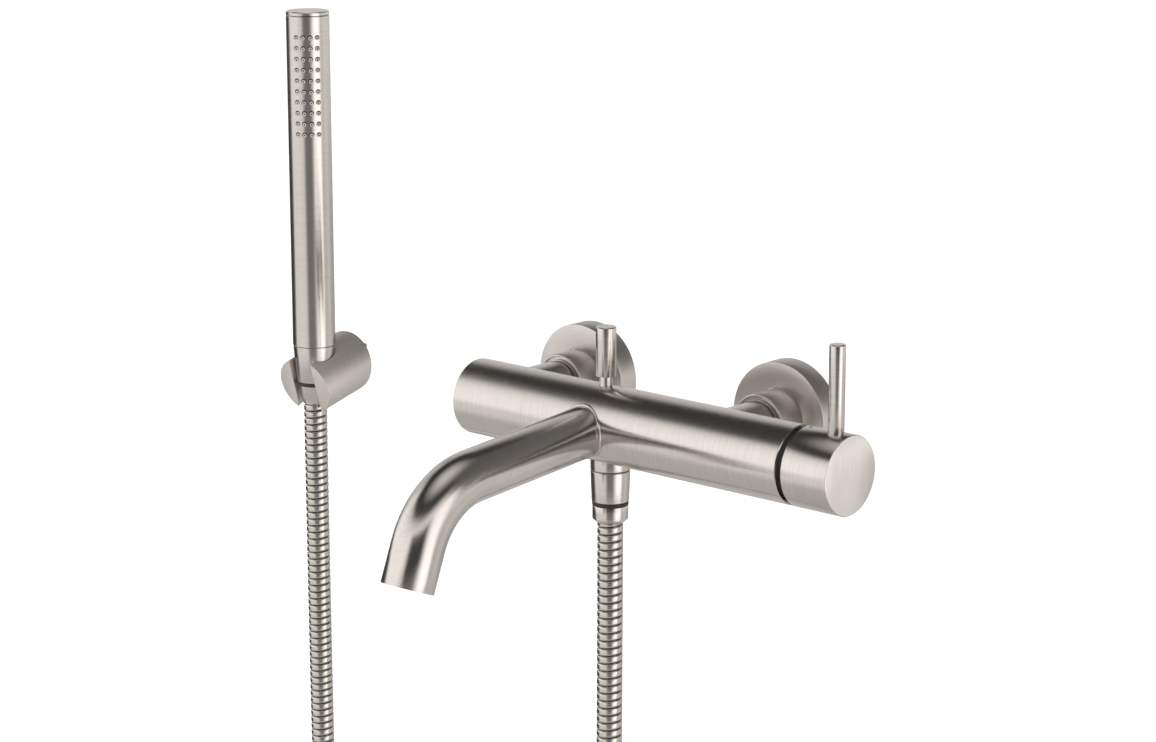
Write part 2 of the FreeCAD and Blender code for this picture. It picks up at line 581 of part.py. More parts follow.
# ---------------------------------------------------------------- hand shower's holder
def oval_bar(name, trim):
    """Make the holder's sloping oval bar, its sides drawn in by trim."""
    oval = DOC.addObject("Part::Ellipse", name + "_oval")
    oval.setExpression("MajorRadius", bound("holder_width - %g" % trim))
    oval.setExpression("MinorRadius", bound("holder_height - %g" % trim))
    slope = FreeCAD.Rotation(FreeCAD.Vector(1, 0, 0), 90 + SIZES["holder_slope"])
    back = 30.0
    rise = back * math.tan(math.radians(SIZES["holder_slope"]))
    place(oval, slope, "-shower_x", "%g" % back, "union_offset - holder_rise + %g" % rise)
    bar = DOC.addObject("Part::Extrusion", name)
    bar.Base = oval
    bar.DirMode = "Normal"
    bar.setExpression("LengthFwd", bound("(holder_depth + %g) / cos(1 deg * holder_slope)" % back))
    bar.Solid = True
    bar.Reversed = True
    return bar


def holder():
    """Make the sloping holder with its cradle, and how it is fixed to the wall."""
    centre = {"x": "-shower_x", "y": "-shower_y"}
    wall_tool = block("holder_wall_tool", ("80", "60", "120"), "-shower_x - 40", "-holder_gap",
                      "union_offset - 90")
    seat = place(turned("holder_seat", [
        ("0", "10"), ("15.3", "10"), ("tube_radius", "-11"), ("11.8", "-32.9"), ("11.8", "-70"),
        ("0", "-70")]), UPRIGHT, **centre)
    mouth = block("holder_mouth", ("holder_slot", "40", "120"), "-shower_x - holder_slot / 2",
                  "-shower_y - 40", "union_offset - 90")
    pocket_wall = block("holder_pocket_tool", ("80", "60", "120"), "-shower_x - 40", "-7",
                        "union_offset - 90")
    pocket = DOC.addObject("Part::Common", "holder_pocket")
    pocket.Base = oval_bar("holder_inner", 2.2)
    pocket.Tool = pocket_wall
    screw_hole = rod("holder_screw_hole", "2.05", "40", UPRIGHT, "-shower_x", "-3.4", "-60")
    keep(cut("holder_body", oval_bar("holder_outer", 0.0), [wall_tool, seat, mouth, pocket, screw_hole]),
         "holder_body")

    plate = DOC.addObject("Part::Common", "holder_plate_blank")
    plate.Base = oval_bar("holder_plate_bar", 2.6)
    plate.Tool = block("holder_plate_slab", ("80", "4.6", "120"), "-shower_x - 40", "-4.6",
                       "union_offset - 90")
    height = "union_offset - holder_rise"
    clearances, screws = [], []
    for tag, sign in (("low", -1), ("high", 1)):
        z = height + " + %d * screw_spacing / 2" % sign
        clearances.append(rod("screw_clearance_" + tag, "screw_radius + 0.25", "20", FROM_WALL,
                              "-shower_x", "10", z))
        sink = DOC.addObject("Part::Cone", "countersink_" + tag)
        sink.Radius1, sink.Radius2, sink.Height = 2.25, 4.2, 2.0
        clearances.append(place(sink, FROM_WALL, "-shower_x", "-2.7", z))
        head = DOC.addObject("Part::Cone", "screw_head_" + tag)
        head.Radius1, head.Radius2, head.Height = 2.0, 4.0, 2.0
        place(head, FROM_WALL, "-shower_x", "-2.6", z)
        shank = rod("screw_shank_" + tag, "screw_radius", "screw_reach + 2.8", FROM_WALL,
                    "-shower_x", "screw_reach", z)
        screws.append(joined("screw_" + tag, [head, shank]))
    grub_seat = rod("plate_grub_seat", "2.1", "6", UPRIGHT, "-shower_x", "-3.4",
                    height + " - holder_height - 1.5")
    keep(cut("holder_wall_plate", plate, clearances + [grub_seat]), "holder_wall_plate")
    pair = DOC.addObject("Part::Compound", "holder_screws_pair")
    pair.Links = screws
    keep(pair, "holder_screws")
    keep(rod("holder_set_screw", "2", "4.4", UPRIGHT, "-shower_x", "-3.4",
             height + " - holder_height - 1.0"), "holder_set_screw")


# ---------------------------------------------------------------- hose
# Along the way from the outlet (0) to the hand shower (1), and height over the bar's axis.
HOSE_ROUTE = [
    (0.0, -58.5), (0.0, -240.0), (0.016, -396.0), (0.105, -510.0), (0.275, -587.0),
    (0.5, -615.0), (0.725, -592.0), (0.9, -526.0), (0.986, -421.0), (1.0, -286.0), (1.0, -47.5),
]
ARC_SHARE = 0.45


def hose():
    """Make the free hose as a plain round solid along straight runs and tangent arcs."""
    start = FreeCAD.Vector(value_of("outlet_x"), -value_of("outlet_y"), value_of(AXIS))
    finish = FreeCAD.Vector(-value_of("shower_x"), -value_of("shower_y"), value_of(AXIS))
    points = [start + (finish - start) * share + FreeCAD.Vector(0, 0, height)
              for share, height in HOSE_ROUTE]
    edges, radii, here = [], [], points[0]
    for before, corner, after in zip(points, points[1:], points[2:]):
        back, ahead = before - corner, after - corner
        reach = ARC_SHARE * min(back.Length, ahead.Length)
        back.normalize()
        ahead.normalize()
        half = (math.pi - back.getAngle(ahead)) / 2
        radius = reach / math.tan(half)
        radii.append(radius)
        first, last = corner + back * reach, corner + ahead * reach
        to_hub = (back + ahead).normalize() * (radius / math.cos(half))
        hub = corner + to_hub
        middle = hub - to_hub * (radius / to_hub.Length)
        edges.append(Part.LineSegment(here, first).toShape())
        edges.append(Part.Arc(first, middle, last).toShape())
        here = last
    edges.append(Part.LineSegment(here, points[-1]).toShape())
    path = Part.Wire(edges)
    radius = value_of("hose_radius")
    section = Part.Wire(Part.Circle(points[0], FreeCAD.Vector(0, 0, 1), radius).toShape())
    solid = path.makePipeShell([section], True, False)
    expected = math.pi * radius ** 2 * path.Length
    print("hose length %.1f mm, arc radii %s mm" % (path.Length, [round(r) for r in radii]))
    print("hose volume / section x length = %.4f" % (solid.Volume / expected))
    feature = DOC.addObject("Part::Feature", "shower_hose")
    feature.Shape = solid
    feature.Placement = FreeCAD.Placement()
    keep(feature, "shower_hose")


def check_document():
    """Stop when any object failed or any sub-part is not a valid solid."""
    DOC.recompute()
    for item in DOC.Objects:
        if "Invalid" in item.State or "Error" in item.State:
            raise RuntimeError("%s failed: %s" % (item.Name, item.State))
    for item in NODES:
        shape = item.Shape
        if shape.isNull() or not shape.isValid() or not shape.Solids:
            raise RuntimeError(item.Label + " has no valid solid")


def export():
    """Write one STEP file per sub-part."""
    os.makedirs("parts", exist_ok=True)
    for item in NODES:
        item.Shape.exportStep(os.path.join("parts", item.Label + ".step"))
    print("%d sub-parts written" % len(NODES))


fill_sheet()
mixer_bar()
cartridge()
swivel()
lever()
diverter()
shower_outlet()
spout()
hand_shower()
holder()
hose()
check_document()
export()
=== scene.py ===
"""Wall mounted bath mixer with a hand shower, its holder and its hose: the finished look."""
import json
import logging
import math
from collections.abc import Callable, Iterable, Sequence
from dataclasses import dataclass, field
from enum import Enum

import bpy
from mathutils import Matrix, Vector


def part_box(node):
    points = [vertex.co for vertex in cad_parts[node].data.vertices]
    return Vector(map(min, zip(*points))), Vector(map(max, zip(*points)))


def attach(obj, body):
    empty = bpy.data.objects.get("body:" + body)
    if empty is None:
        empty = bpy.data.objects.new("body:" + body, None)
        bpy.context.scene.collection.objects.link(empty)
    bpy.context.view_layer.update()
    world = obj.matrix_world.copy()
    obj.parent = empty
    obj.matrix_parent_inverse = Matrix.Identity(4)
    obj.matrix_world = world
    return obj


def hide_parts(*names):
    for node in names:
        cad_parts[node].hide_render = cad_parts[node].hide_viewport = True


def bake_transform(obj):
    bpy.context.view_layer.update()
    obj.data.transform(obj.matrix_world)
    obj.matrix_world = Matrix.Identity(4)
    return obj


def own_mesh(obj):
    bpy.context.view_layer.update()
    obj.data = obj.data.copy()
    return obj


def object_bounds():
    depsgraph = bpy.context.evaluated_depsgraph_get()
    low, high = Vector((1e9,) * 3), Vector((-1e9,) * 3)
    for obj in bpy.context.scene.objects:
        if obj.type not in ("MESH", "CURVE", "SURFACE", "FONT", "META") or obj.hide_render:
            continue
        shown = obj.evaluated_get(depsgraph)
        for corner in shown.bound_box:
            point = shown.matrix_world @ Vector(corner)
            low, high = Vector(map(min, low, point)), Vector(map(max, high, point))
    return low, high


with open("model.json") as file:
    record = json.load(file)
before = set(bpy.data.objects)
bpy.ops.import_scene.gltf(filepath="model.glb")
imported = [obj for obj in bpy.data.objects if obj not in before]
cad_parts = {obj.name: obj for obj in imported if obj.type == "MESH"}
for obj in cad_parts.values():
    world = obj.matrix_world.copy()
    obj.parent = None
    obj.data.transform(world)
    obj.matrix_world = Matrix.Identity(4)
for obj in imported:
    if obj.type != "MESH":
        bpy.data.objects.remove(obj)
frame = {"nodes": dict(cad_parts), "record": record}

CAD_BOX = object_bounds()
LOG = logging.getLogger("bath_mixer")
MM = 0.001
TIP = 0.01 * MM                     # radius at which an outline meets its axis

Piece = bpy.types.Object
Triple = tuple[float, float, float]
Station = tuple[float, float]       # place along the axis and radius, in metres


# ---------------------------------------------------------------- placing and shaping
class Axis(Enum):
    """Which way a turned piece's own axis points on the mixer."""

    UP = "up"
    BAR = "along the bar"
    OUT = "out from the wall"

    def turn(self) -> Matrix:
        """Return the rotation that takes local Z to this axis."""
        if self is Axis.BAR:
            return Matrix.Rotation(math.radians(90), 4, "Y")
        if self is Axis.OUT:
            return Matrix.Rotation(math.radians(90), 4, "X")
        return Matrix.Identity(4)


def middle(node: str) -> Vector:
    """Return the middle of a CAD node's box."""
    low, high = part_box(node)
    return (low + high) / 2


def alone(piece: Piece) -> None:
    """Select one object and make it active."""
    bpy.ops.object.select_all(action="DESELECT")
    piece.select_set(True)
    bpy.context.view_layer.objects.active = piece


def active() -> Piece:
    """Return the active object."""
    return bpy.context.view_layer.objects.active


def smooth(piece: Piece, angle: float = 32.0) -> None:
    """Shade a piece smooth, keeping edges sharper than an angle in degrees."""
    alone(piece)
    bpy.ops.object.shade_smooth_by_angle(angle=math.radians(angle))


def circle(name: str, sides: int, radius: float, fill: str = "NGON",
           turn: Matrix = Matrix.Identity(4)) -> Piece:
    """Add a circle at the origin and open it for editing, with all of it selected.

    Args:
        name: The new piece's name.
        sides: Its number of corners.
        radius: Its radius in metres.
        fill: NGON for a face, NOTHING for the bare ring.
        turn: Rotation of the circle, which lies flat otherwise.

    Returns:
        The piece.
    """
    bpy.ops.object.select_all(action="DESELECT")
    bpy.ops.mesh.primitive_circle_add(vertices=sides, radius=radius, fill_type=fill, location=(0, 0, 0))
    piece = active()
    piece.name = piece.data.name = name
    piece.data.transform(turn)
    bpy.ops.object.mode_set(mode="EDIT")
    bpy.ops.mesh.select_all(action="SELECT")
    return piece


def extrude(way: Triple) -> None:
    """Extrude the selected faces or edges of the edited mesh by a vector."""
    bpy.ops.mesh.extrude_region_move(TRANSFORM_OT_translate={"value": way})


def outward() -> None:
    """Turn all faces of the edited mesh outward."""
    bpy.ops.mesh.select_all(action="SELECT")
    bpy.ops.mesh.normals_make_consistent(inside=False)


def join(into: Piece, pieces: Iterable[Piece]) -> None:
    """Join pieces into one."""
    alone(into)
    for piece in pieces:
        piece.select_set(True)
    bpy.ops.object.join()


def link(name: str, data: bpy.types.ID) -> Piece:
    """Return a new object of the scene that holds some data."""
    made = bpy.data.objects.new(name, data)
    bpy.context.scene.collection.objects.link(made)
    return made


def settle(piece: Piece, place: Matrix) -> None:
    """Move a piece's mesh to its place, leaving its object at the origin.

    Args:
        piece: The object, still at the origin.
        place: Where its mesh goes.
    """
    piece.matrix_world = place
    alone(piece)
    bpy.ops.object.transform_apply(location=True, rotation=True, scale=True)


def apply_all(piece: Piece) -> None:
    """Apply every modifier of a piece, in order."""
    alone(piece)
    for modifier in list(piece.modifiers):
        bpy.ops.object.modifier_apply(modifier=modifier.name)


def carve(piece: Piece, tool: Piece, operation: str = "DIFFERENCE") -> None:
    """Cut a tool out of a piece, or join it on, and delete the tool.

    Args:
        piece: The piece that is shaped.
        tool: The closed mesh that shapes it.
        operation: DIFFERENCE, UNION or INTERSECT.
    """
    modifier = piece.modifiers.new("shape", "BOOLEAN")
    modifier.object = tool
    modifier.operation = operation
    modifier.solver = "EXACT"
    apply_all(piece)
    bpy.data.objects.remove(tool, do_unlink=True)


def soften(piece: Piece, width: float, steps: int = 2, angle: float = 40.0) -> None:
    """Round a piece's sharp edges.

    Args:
        piece: The finished shape.
        width: The rounding's width in metres.
        steps: Faces across the rounding.
        angle: Edges sharper than this many degrees are rounded.
    """
    bevel = piece.modifiers.new("edges", "BEVEL")
    bevel.width = width
    bevel.segments = steps
    bevel.limit_method = "ANGLE"
    bevel.angle_limit = math.radians(angle)
    bevel.use_clamp_overlap = True
    apply_all(piece)


@dataclass
class Lathe:
    """Turns outlines about one axis.

    Attributes:
        centre: A point of the axis; stations are measured from it.
        axis: Which way the axis points.
        sides: Faces round a turned piece.
    """

    centre: Vector
    axis: Axis
    sides: int = 96

    def turn(self, name: str, outline: Sequence[Station], edge: float = 0.25 * MM,
             steps: int = 2) -> Piece:
        """Turn an outline into a closed piece.

        Args:
            name: The piece's name.
            outline: Stations in order.  A ring's outline ends where it began; a solid's ends are filled.
            edge: Rounding of the sharp edges in metres, or 0 for none.
            steps: Faces across that rounding.

        Returns:
            The piece, with its mesh in place.
        """
        along, radius = outline[0]
        piece = circle(name, self.sides, radius, "NOTHING")
        bpy.ops.transform.translate(value=(0, 0, along))
        for next_along, next_radius in outline[1:]:
            extrude((0, 0, next_along - along))
            ratio = next_radius / radius
            bpy.ops.transform.resize(value=(ratio, ratio, 1), center_override=(0, 0, next_along))
            along, radius = next_along, next_radius
        bpy.ops.mesh.select_all(action="SELECT")
        bpy.ops.mesh.remove_doubles(threshold=0.002 * MM)
        bpy.ops.mesh.select_all(action="SELECT")
        bpy.ops.mesh.fill_holes(sides=0)
        outward()
        if edge:
            bpy.ops.mesh.select_all(action="DESELECT")
            bpy.ops.mesh.select_mode(type="EDGE")
            bpy.ops.mesh.edges_select_sharp(sharpness=math.radians(25))
            bpy.ops.mesh.bevel(offset=edge, offset_type="OFFSET", segments=steps, affect="EDGES",
                               clamp_overlap=True)
            bpy.ops.mesh.select_mode(type="VERT")
        bpy.ops.object.mode_set(mode="OBJECT")
        settle(piece, Matrix.Translation(self.centre) @ self.axis.turn())
        smooth(piece)
        return piece

    def solid(self, name: str, outline: Sequence[Station], edge: float = 0.0) -> Piece:
        """Turn an outline into a solid, closed at the axis at both its ends.

        Args:
            name: The piece's name.
            outline: Stations in order.
            edge: Rounding of the sharp edges in metres, or 0 for none.

        Returns:
            The piece, with its mesh in place.
        """
        first, last = (outline[0][0], TIP), (outline[-1][0], TIP)
        return self.turn(name, [first, *outline, last], edge)


# ---------------------------------------------------------------- shader maths
class Socket:
    """An output of a shader node, or a number, that takes part in Python arithmetic."""

    def __init__(self, bench: "ShaderBench", value: "bpy.types.NodeSocket | float") -> None:
        """Wrap a socket or a number for one material."""
        self.bench = bench
        self.value = value

    def _math(self, operation: str, *others: "Socket | float", swap: bool = False) -> "Socket":
        """Add a Math node.

        Args:
            operation: The node's operation.
            others: The other operands.
            swap: Put this value after the first of the others.

        Returns:
            The node's result.
        """
        terms: list[Socket | float] = [self, *others]
        if swap:
            terms = [others[0], self, *others[1:]]
        return self.bench.node("ShaderNodeMath", {"operation": operation}, dict(enumerate(terms)))

    def __add__(self, other: "Socket | float") -> "Socket":
        """Return the sum."""
        return self._math("ADD", other)

    __radd__ = __add__

    def __mul__(self, other: "Socket | float") -> "Socket":
        """Return the product."""
        return self._math("MULTIPLY", other)

    __rmul__ = __mul__

    def __sub__(self, other: "Socket | float") -> "Socket":
        """Return the difference."""
        return self._math("SUBTRACT", other)

    def __rsub__(self, other: "Socket | float") -> "Socket":
        """Return the difference, taken from the other value."""
        return self._math("SUBTRACT", other, swap=True)

    def __truediv__(self, other: "Socket | float") -> "Socket":
        """Return the quotient."""
        return self._math("DIVIDE", other)

    def root(self) -> "Socket":
        """Return the square root."""
        return self._math("SQRT")

    def angle_to(self, other: "Socket | float") -> "Socket":
        """Return the angle whose tangent is this value over the other."""
        return self._math("ARCTAN2", other)

    def step(self, low: float, high: float) -> "Socket":
        """Return 0 below low and 1 above high, with a soft ramp between."""
        return self.bench.node(
            "ShaderNodeMapRange", {"interpolation_type": "SMOOTHSTEP", "clamp": True},
            {"Value": self, "From Min": low, "From Max": high, "To Min": 0.0, "To Max": 1.0})


class ShaderBench:
    """A node tree under construction."""

    def __init__(self, tree: bpy.types.NodeTree) -> None:
        """Start on an empty tree."""
        self.tree = tree
        tree.nodes.clear()

    @classmethod
    def material(cls, name: str) -> "tuple[bpy.types.Material, ShaderBench]":
        """Return a new material and a bench on its node tree."""
        material = bpy.data.materials.new(name)
        material.use_nodes = True
        return material, cls(material.node_tree)

    def surface(self, inputs: dict) -> None:
        """End a material with its surface, from the surface's inputs."""
        skin = self.node("ShaderNodeBsdfPrincipled", None, inputs)
        self.node("ShaderNodeOutputMaterial", None, {"Surface": skin})

    def tinted(self, tint: Triple, share: "Socket") -> Socket:
        """Return a colour times a value."""
        return self.node("ShaderNodeVectorMath", {"operation": "SCALE"}, {0: tint, "Scale": share})

    def bump(self, strength: float, distance: float, height: "Socket", **more: "Socket") -> Socket:
        """Return the normals of a relief, over other normals if they come as Normal."""
        return self.node("ShaderNodeBump", None, {
            "Strength": strength, "Distance": distance, "Height": height, **more})

    def node(self, kind: str, settings: dict | None = None, inputs: dict | None = None,
             output: int | str = 0) -> Socket:
        """Add a node.

        Args:
            kind: The node's type.
            settings: Its properties; a ramp's stops come as "stops", pairs of place and grey level.
            inputs: Values or links for its sockets, by name or number.
            output: Which output to return.

        Returns:
            The chosen output.
        """
        made = self.tree.nodes.new(kind)
        for key, value in (settings or {}).items():
            if key == "stops":
                self._stops(made.color_ramp, value)
            else:
                setattr(made, key, value)
        for key, value in (inputs or {}).items():
            self._feed(made.inputs[key], value)
        picked = made.outputs[output] if made.outputs else None
        return Socket(self, picked)

    def _feed(self, slot: bpy.types.NodeSocket, value: object) -> None:
        """Link a socket or set its value."""
        if isinstance(value, Socket):
            value = value.value
        if isinstance(value, bpy.types.NodeSocket):
            self.tree.links.new(value, slot)
        else:
            slot.default_value = value

    @staticmethod
    def _stops(ramp: bpy.types.ColorRamp, stops: Sequence[tuple[float, float]]) -> None:
        """Set a ramp's stops from pairs of place and grey level."""
        while len(ramp.elements) > 1:
            ramp.elements.remove(ramp.elements[-1])
        for index, (place, level) in enumerate(stops):
            element = ramp.elements[0] if index == 0 else ramp.elements.new(place)
            element.position = place
            element.color = (level, level, level, 1.0)

    def ramp(self, value: Socket, stops: Sequence[tuple[float, float]]) -> Socket:
        """Return a value read off a ramp of grey levels."""
        return self.node("ShaderNodeValToRGB", {"stops": stops}, {0: value})

    def place(self) -> Socket:
        """Return the Object coordinates."""
        return self.node("ShaderNodeTexCoord", output="Object")

    def parts(self, vector: Socket) -> tuple[Socket, Socket, Socket]:
        """Split a vector into its three numbers."""
        first = self.node("ShaderNodeSeparateXYZ", None, {0: vector})
        outs = first.value.node.outputs
        return Socket(self, outs[0]), Socket(self, outs[1]), Socket(self, outs[2])

    def vector(self, x: Socket | float, y: Socket | float, z: Socket | float) -> Socket:
        """Join three numbers into a vector."""
        return self.node("ShaderNodeCombineXYZ", None, {0: x, 1: y, 2: z})

    def noise(self, vector: Socket, scale: float, detail: float = 2.0, roughness: float = 0.5) -> Socket:
        """Return noise at a vector."""
        return self.node("ShaderNodeTexNoise", {"noise_dimensions": "3D"},
                         {"Vector": vector, "Scale": scale, "Detail": detail, "Roughness": roughness})


class Grain(Enum):
    """How the fine lines of a satin finish run."""

    ROUND_UP = "rings round an upright axis"
    ROUND_BAR = "rings round the bar's axis"
    ROUND_OUT = "rings round an axis out from the wall"
    DOWN_FACE = "straight upright lines on the end face"


@dataclass(frozen=True)
class SatinSteel:
    """Stainless steel with fine lines.

    Attributes:
        name: The material's name.
        grain: How the lines run.
        centre: A point of the axis that the lines run round.
        tint: Base colour.
        rough: Roughness between the lines.
        depth: Strength of the lines' relief.
        lines: How fast the lines change across and along them, per metre.
        hairs: The same of the finest scratches.
    """

    name: str
    grain: Grain
    centre: Vector
    tint: Triple = (0.640, 0.603, 0.568)
    rough: float = 0.18
    depth: float = 0.30
    lines: tuple[float, float] = (2400.0, 60.0)
    hairs: tuple[float, float] = (6500.0, 90.0)

    def make(self) -> bpy.types.Material:
        """Return the material."""
        material, bench = ShaderBench.material(self.name)
        streaks = bench.noise(self._along_lines(bench, *self.lines), 1.0, 3.0, 0.65)
        hairs = bench.noise(self._along_lines(bench, *self.hairs), 1.0, 1.0)
        patches = bench.noise(bench.place(), 12.0, 3.0)
        shade = (streaks - 0.5) * 0.32 + (patches - 0.5) * 0.10 + 1.0
        colour = bench.tinted(self.tint, shade)
        rough = self.rough + (streaks - 0.5) * 0.10 + (patches - 0.5) * 0.04
        relief = bench.bump(self.depth, 0.05 * MM, hairs)
        relief = bench.bump(self.depth * 0.25, 0.1 * MM, streaks, Normal=relief)
        bench.surface({"Base Color": colour, "Metallic": 1.0, "Roughness": rough, "Normal": relief})
        return material

    def _along_lines(self, bench: ShaderBench, fine: float, slow: float) -> Socket:
        """Return coordinates that change fast across the lines and slowly along them.

        Args:
            bench: The material under construction.
            fine: Change across the lines, per metre.
            slow: Change along them.
        """
        x, y, z = bench.parts(bench.place())
        x, y, z = x - self.centre.x, y - self.centre.y, z - self.centre.z
        if self.grain is Grain.ROUND_UP:
            return bench.vector(((x * x + y * y).root() + z) * fine, x * slow, y * slow)
        if self.grain is Grain.ROUND_BAR:
            return bench.vector(((y * y + z * z).root() + x) * fine, y * slow, z * slow)
        if self.grain is Grain.ROUND_OUT:
            return bench.vector(((x * x + z * z).root() + y) * fine, x * slow, z * slow)
        return bench.vector(y * fine * 0.7, x * slow, z * slow)


@dataclass(frozen=True)
class PlainFinish:
    """A plain material with a little mottling: rubber, plastic, brass or ceramic.

    Attributes:
        name: The material's name.
        tint: Base colour.
        rough: Roughness.
        metal: Metallic value.
        speckle: How much the colour varies.
    """

    name: str
    tint: Triple
    rough: float = 0.5
    metal: float = 0.0
    speckle: float = 0.15

    def make(self) -> bpy.types.Material:
        """Return the material."""
        material, bench = ShaderBench.material(self.name)
        spots = bench.noise(bench.place(), 900.0, 3.0)
        colour = bench.tinted(self.tint, 1.0 + (spots - 0.5) * self.speckle)
        relief = bench.bump(0.08, 0.05 * MM, spots)
        bench.surface({"Base Color": colour, "Metallic": self.metal,
                       "Roughness": self.rough + (spots - 0.5) * 0.08, "Normal": relief})
        return material


def dress(piece: Piece, finish: bpy.types.Material) -> None:
    """Give a piece one material."""
    piece.data.materials.clear()
    piece.data.materials.append(finish)
    for face in piece.data.polygons:
        face.material_index = 0


def inlay(piece: Piece, finish: bpy.types.Material,
          chosen: Callable[[bpy.types.MeshPolygon], bool]) -> None:
    """Give the chosen faces of a dressed piece a second material."""
    piece.data.materials.append(finish)
    for face in piece.data.polygons:
        if chosen(face):
            face.material_index = 1


@dataclass
class Finishes:
    """Every material of the mixer, made once."""

    made: dict[str, bpy.types.Material] = field(default_factory=dict)

    def steel(self, key: str, grain: Grain, centre: Vector, **changes: object) -> bpy.types.Material:
        """Return the satin steel of one piece, making it at first use."""
        if key not in self.made:
            self.made[key] = SatinSteel("satin_steel_" + key, grain, centre, **changes).make()
        return self.made[key]

    def plain(self, key: str) -> bpy.types.Material:
        """Return one of the plain finishes, making it at first use."""
        if key not in self.made:
            self.made[key] = PLAIN[key].make()
        return self.made[key]


PLAIN: dict[str, PlainFinish] = {
    "black_rubber": PlainFinish("black_rubber", (0.018, 0.018, 0.018), 0.55),
    "black_plastic": PlainFinish("black_plastic", (0.035, 0.034, 0.033), 0.42),
    "grey_plastic": PlainFinish("grey_plastic", (0.30, 0.30, 0.31), 0.5),
    "grey_silicone": PlainFinish("grey_silicone", (0.50, 0.48, 0.46), 0.4),
    "ceramic": PlainFinish("ceramic", (0.80, 0.79, 0.75), 0.18),
    "brass": PlainFinish("brass", (0.70, 0.52, 0.26), 0.3, 1.0),
    "zinc_steel": PlainFinish("zinc_steel", (0.58, 0.58, 0.60), 0.32, 1.0),
    "satin_steel": PlainFinish("satin_steel_plain", (0.62, 0.59, 0.555), 0.28, 1.0, 0.08),
    "brushed_face": PlainFinish("satin_steel_cap", (0.62, 0.59, 0.555), 0.28, 1.0, 0.08),
    "hose_steel": PlainFinish("satin_steel_coil", (0.62, 0.59, 0.555), 0.25, 1.0, 0.08),
    "blue_mark": PlainFinish("blue_mark", (0.0, 0.075, 0.11), 0.75),
}


# ---------------------------------------------------------------- camera and room
@dataclass
class Camera:
    """The camera, at the usual view of the mixer.

    Attributes:
        place: Where it stands, in metres.
        azimuth: How far it has turned from the front to the right, in degrees.
        elevation: How far it looks down, in degrees.
        lens: Focal length in mm.
        sensor: Width of the sensor in mm.
    """

    place: Vector = field(default_factory=lambda: Vector((1.0869, -1.3177, 0.4254)))
    azimuth: float = 41.77
    elevation: float = 13.2
    lens: float = 93.43
    sensor: float = 36.0

    def build(self) -> None:
        """Make the camera and set it as the scene's."""
        data = bpy.data.cameras.new("camera")
        data.lens = self.lens
        data.sensor_width = self.sensor
        data.clip_end = 100.0
        camera = link("camera", data)
        camera.location = self.place
        camera.rotation_euler = (math.radians(90 - self.elevation), 0, math.radians(self.azimuth))
        bpy.context.scene.camera = camera


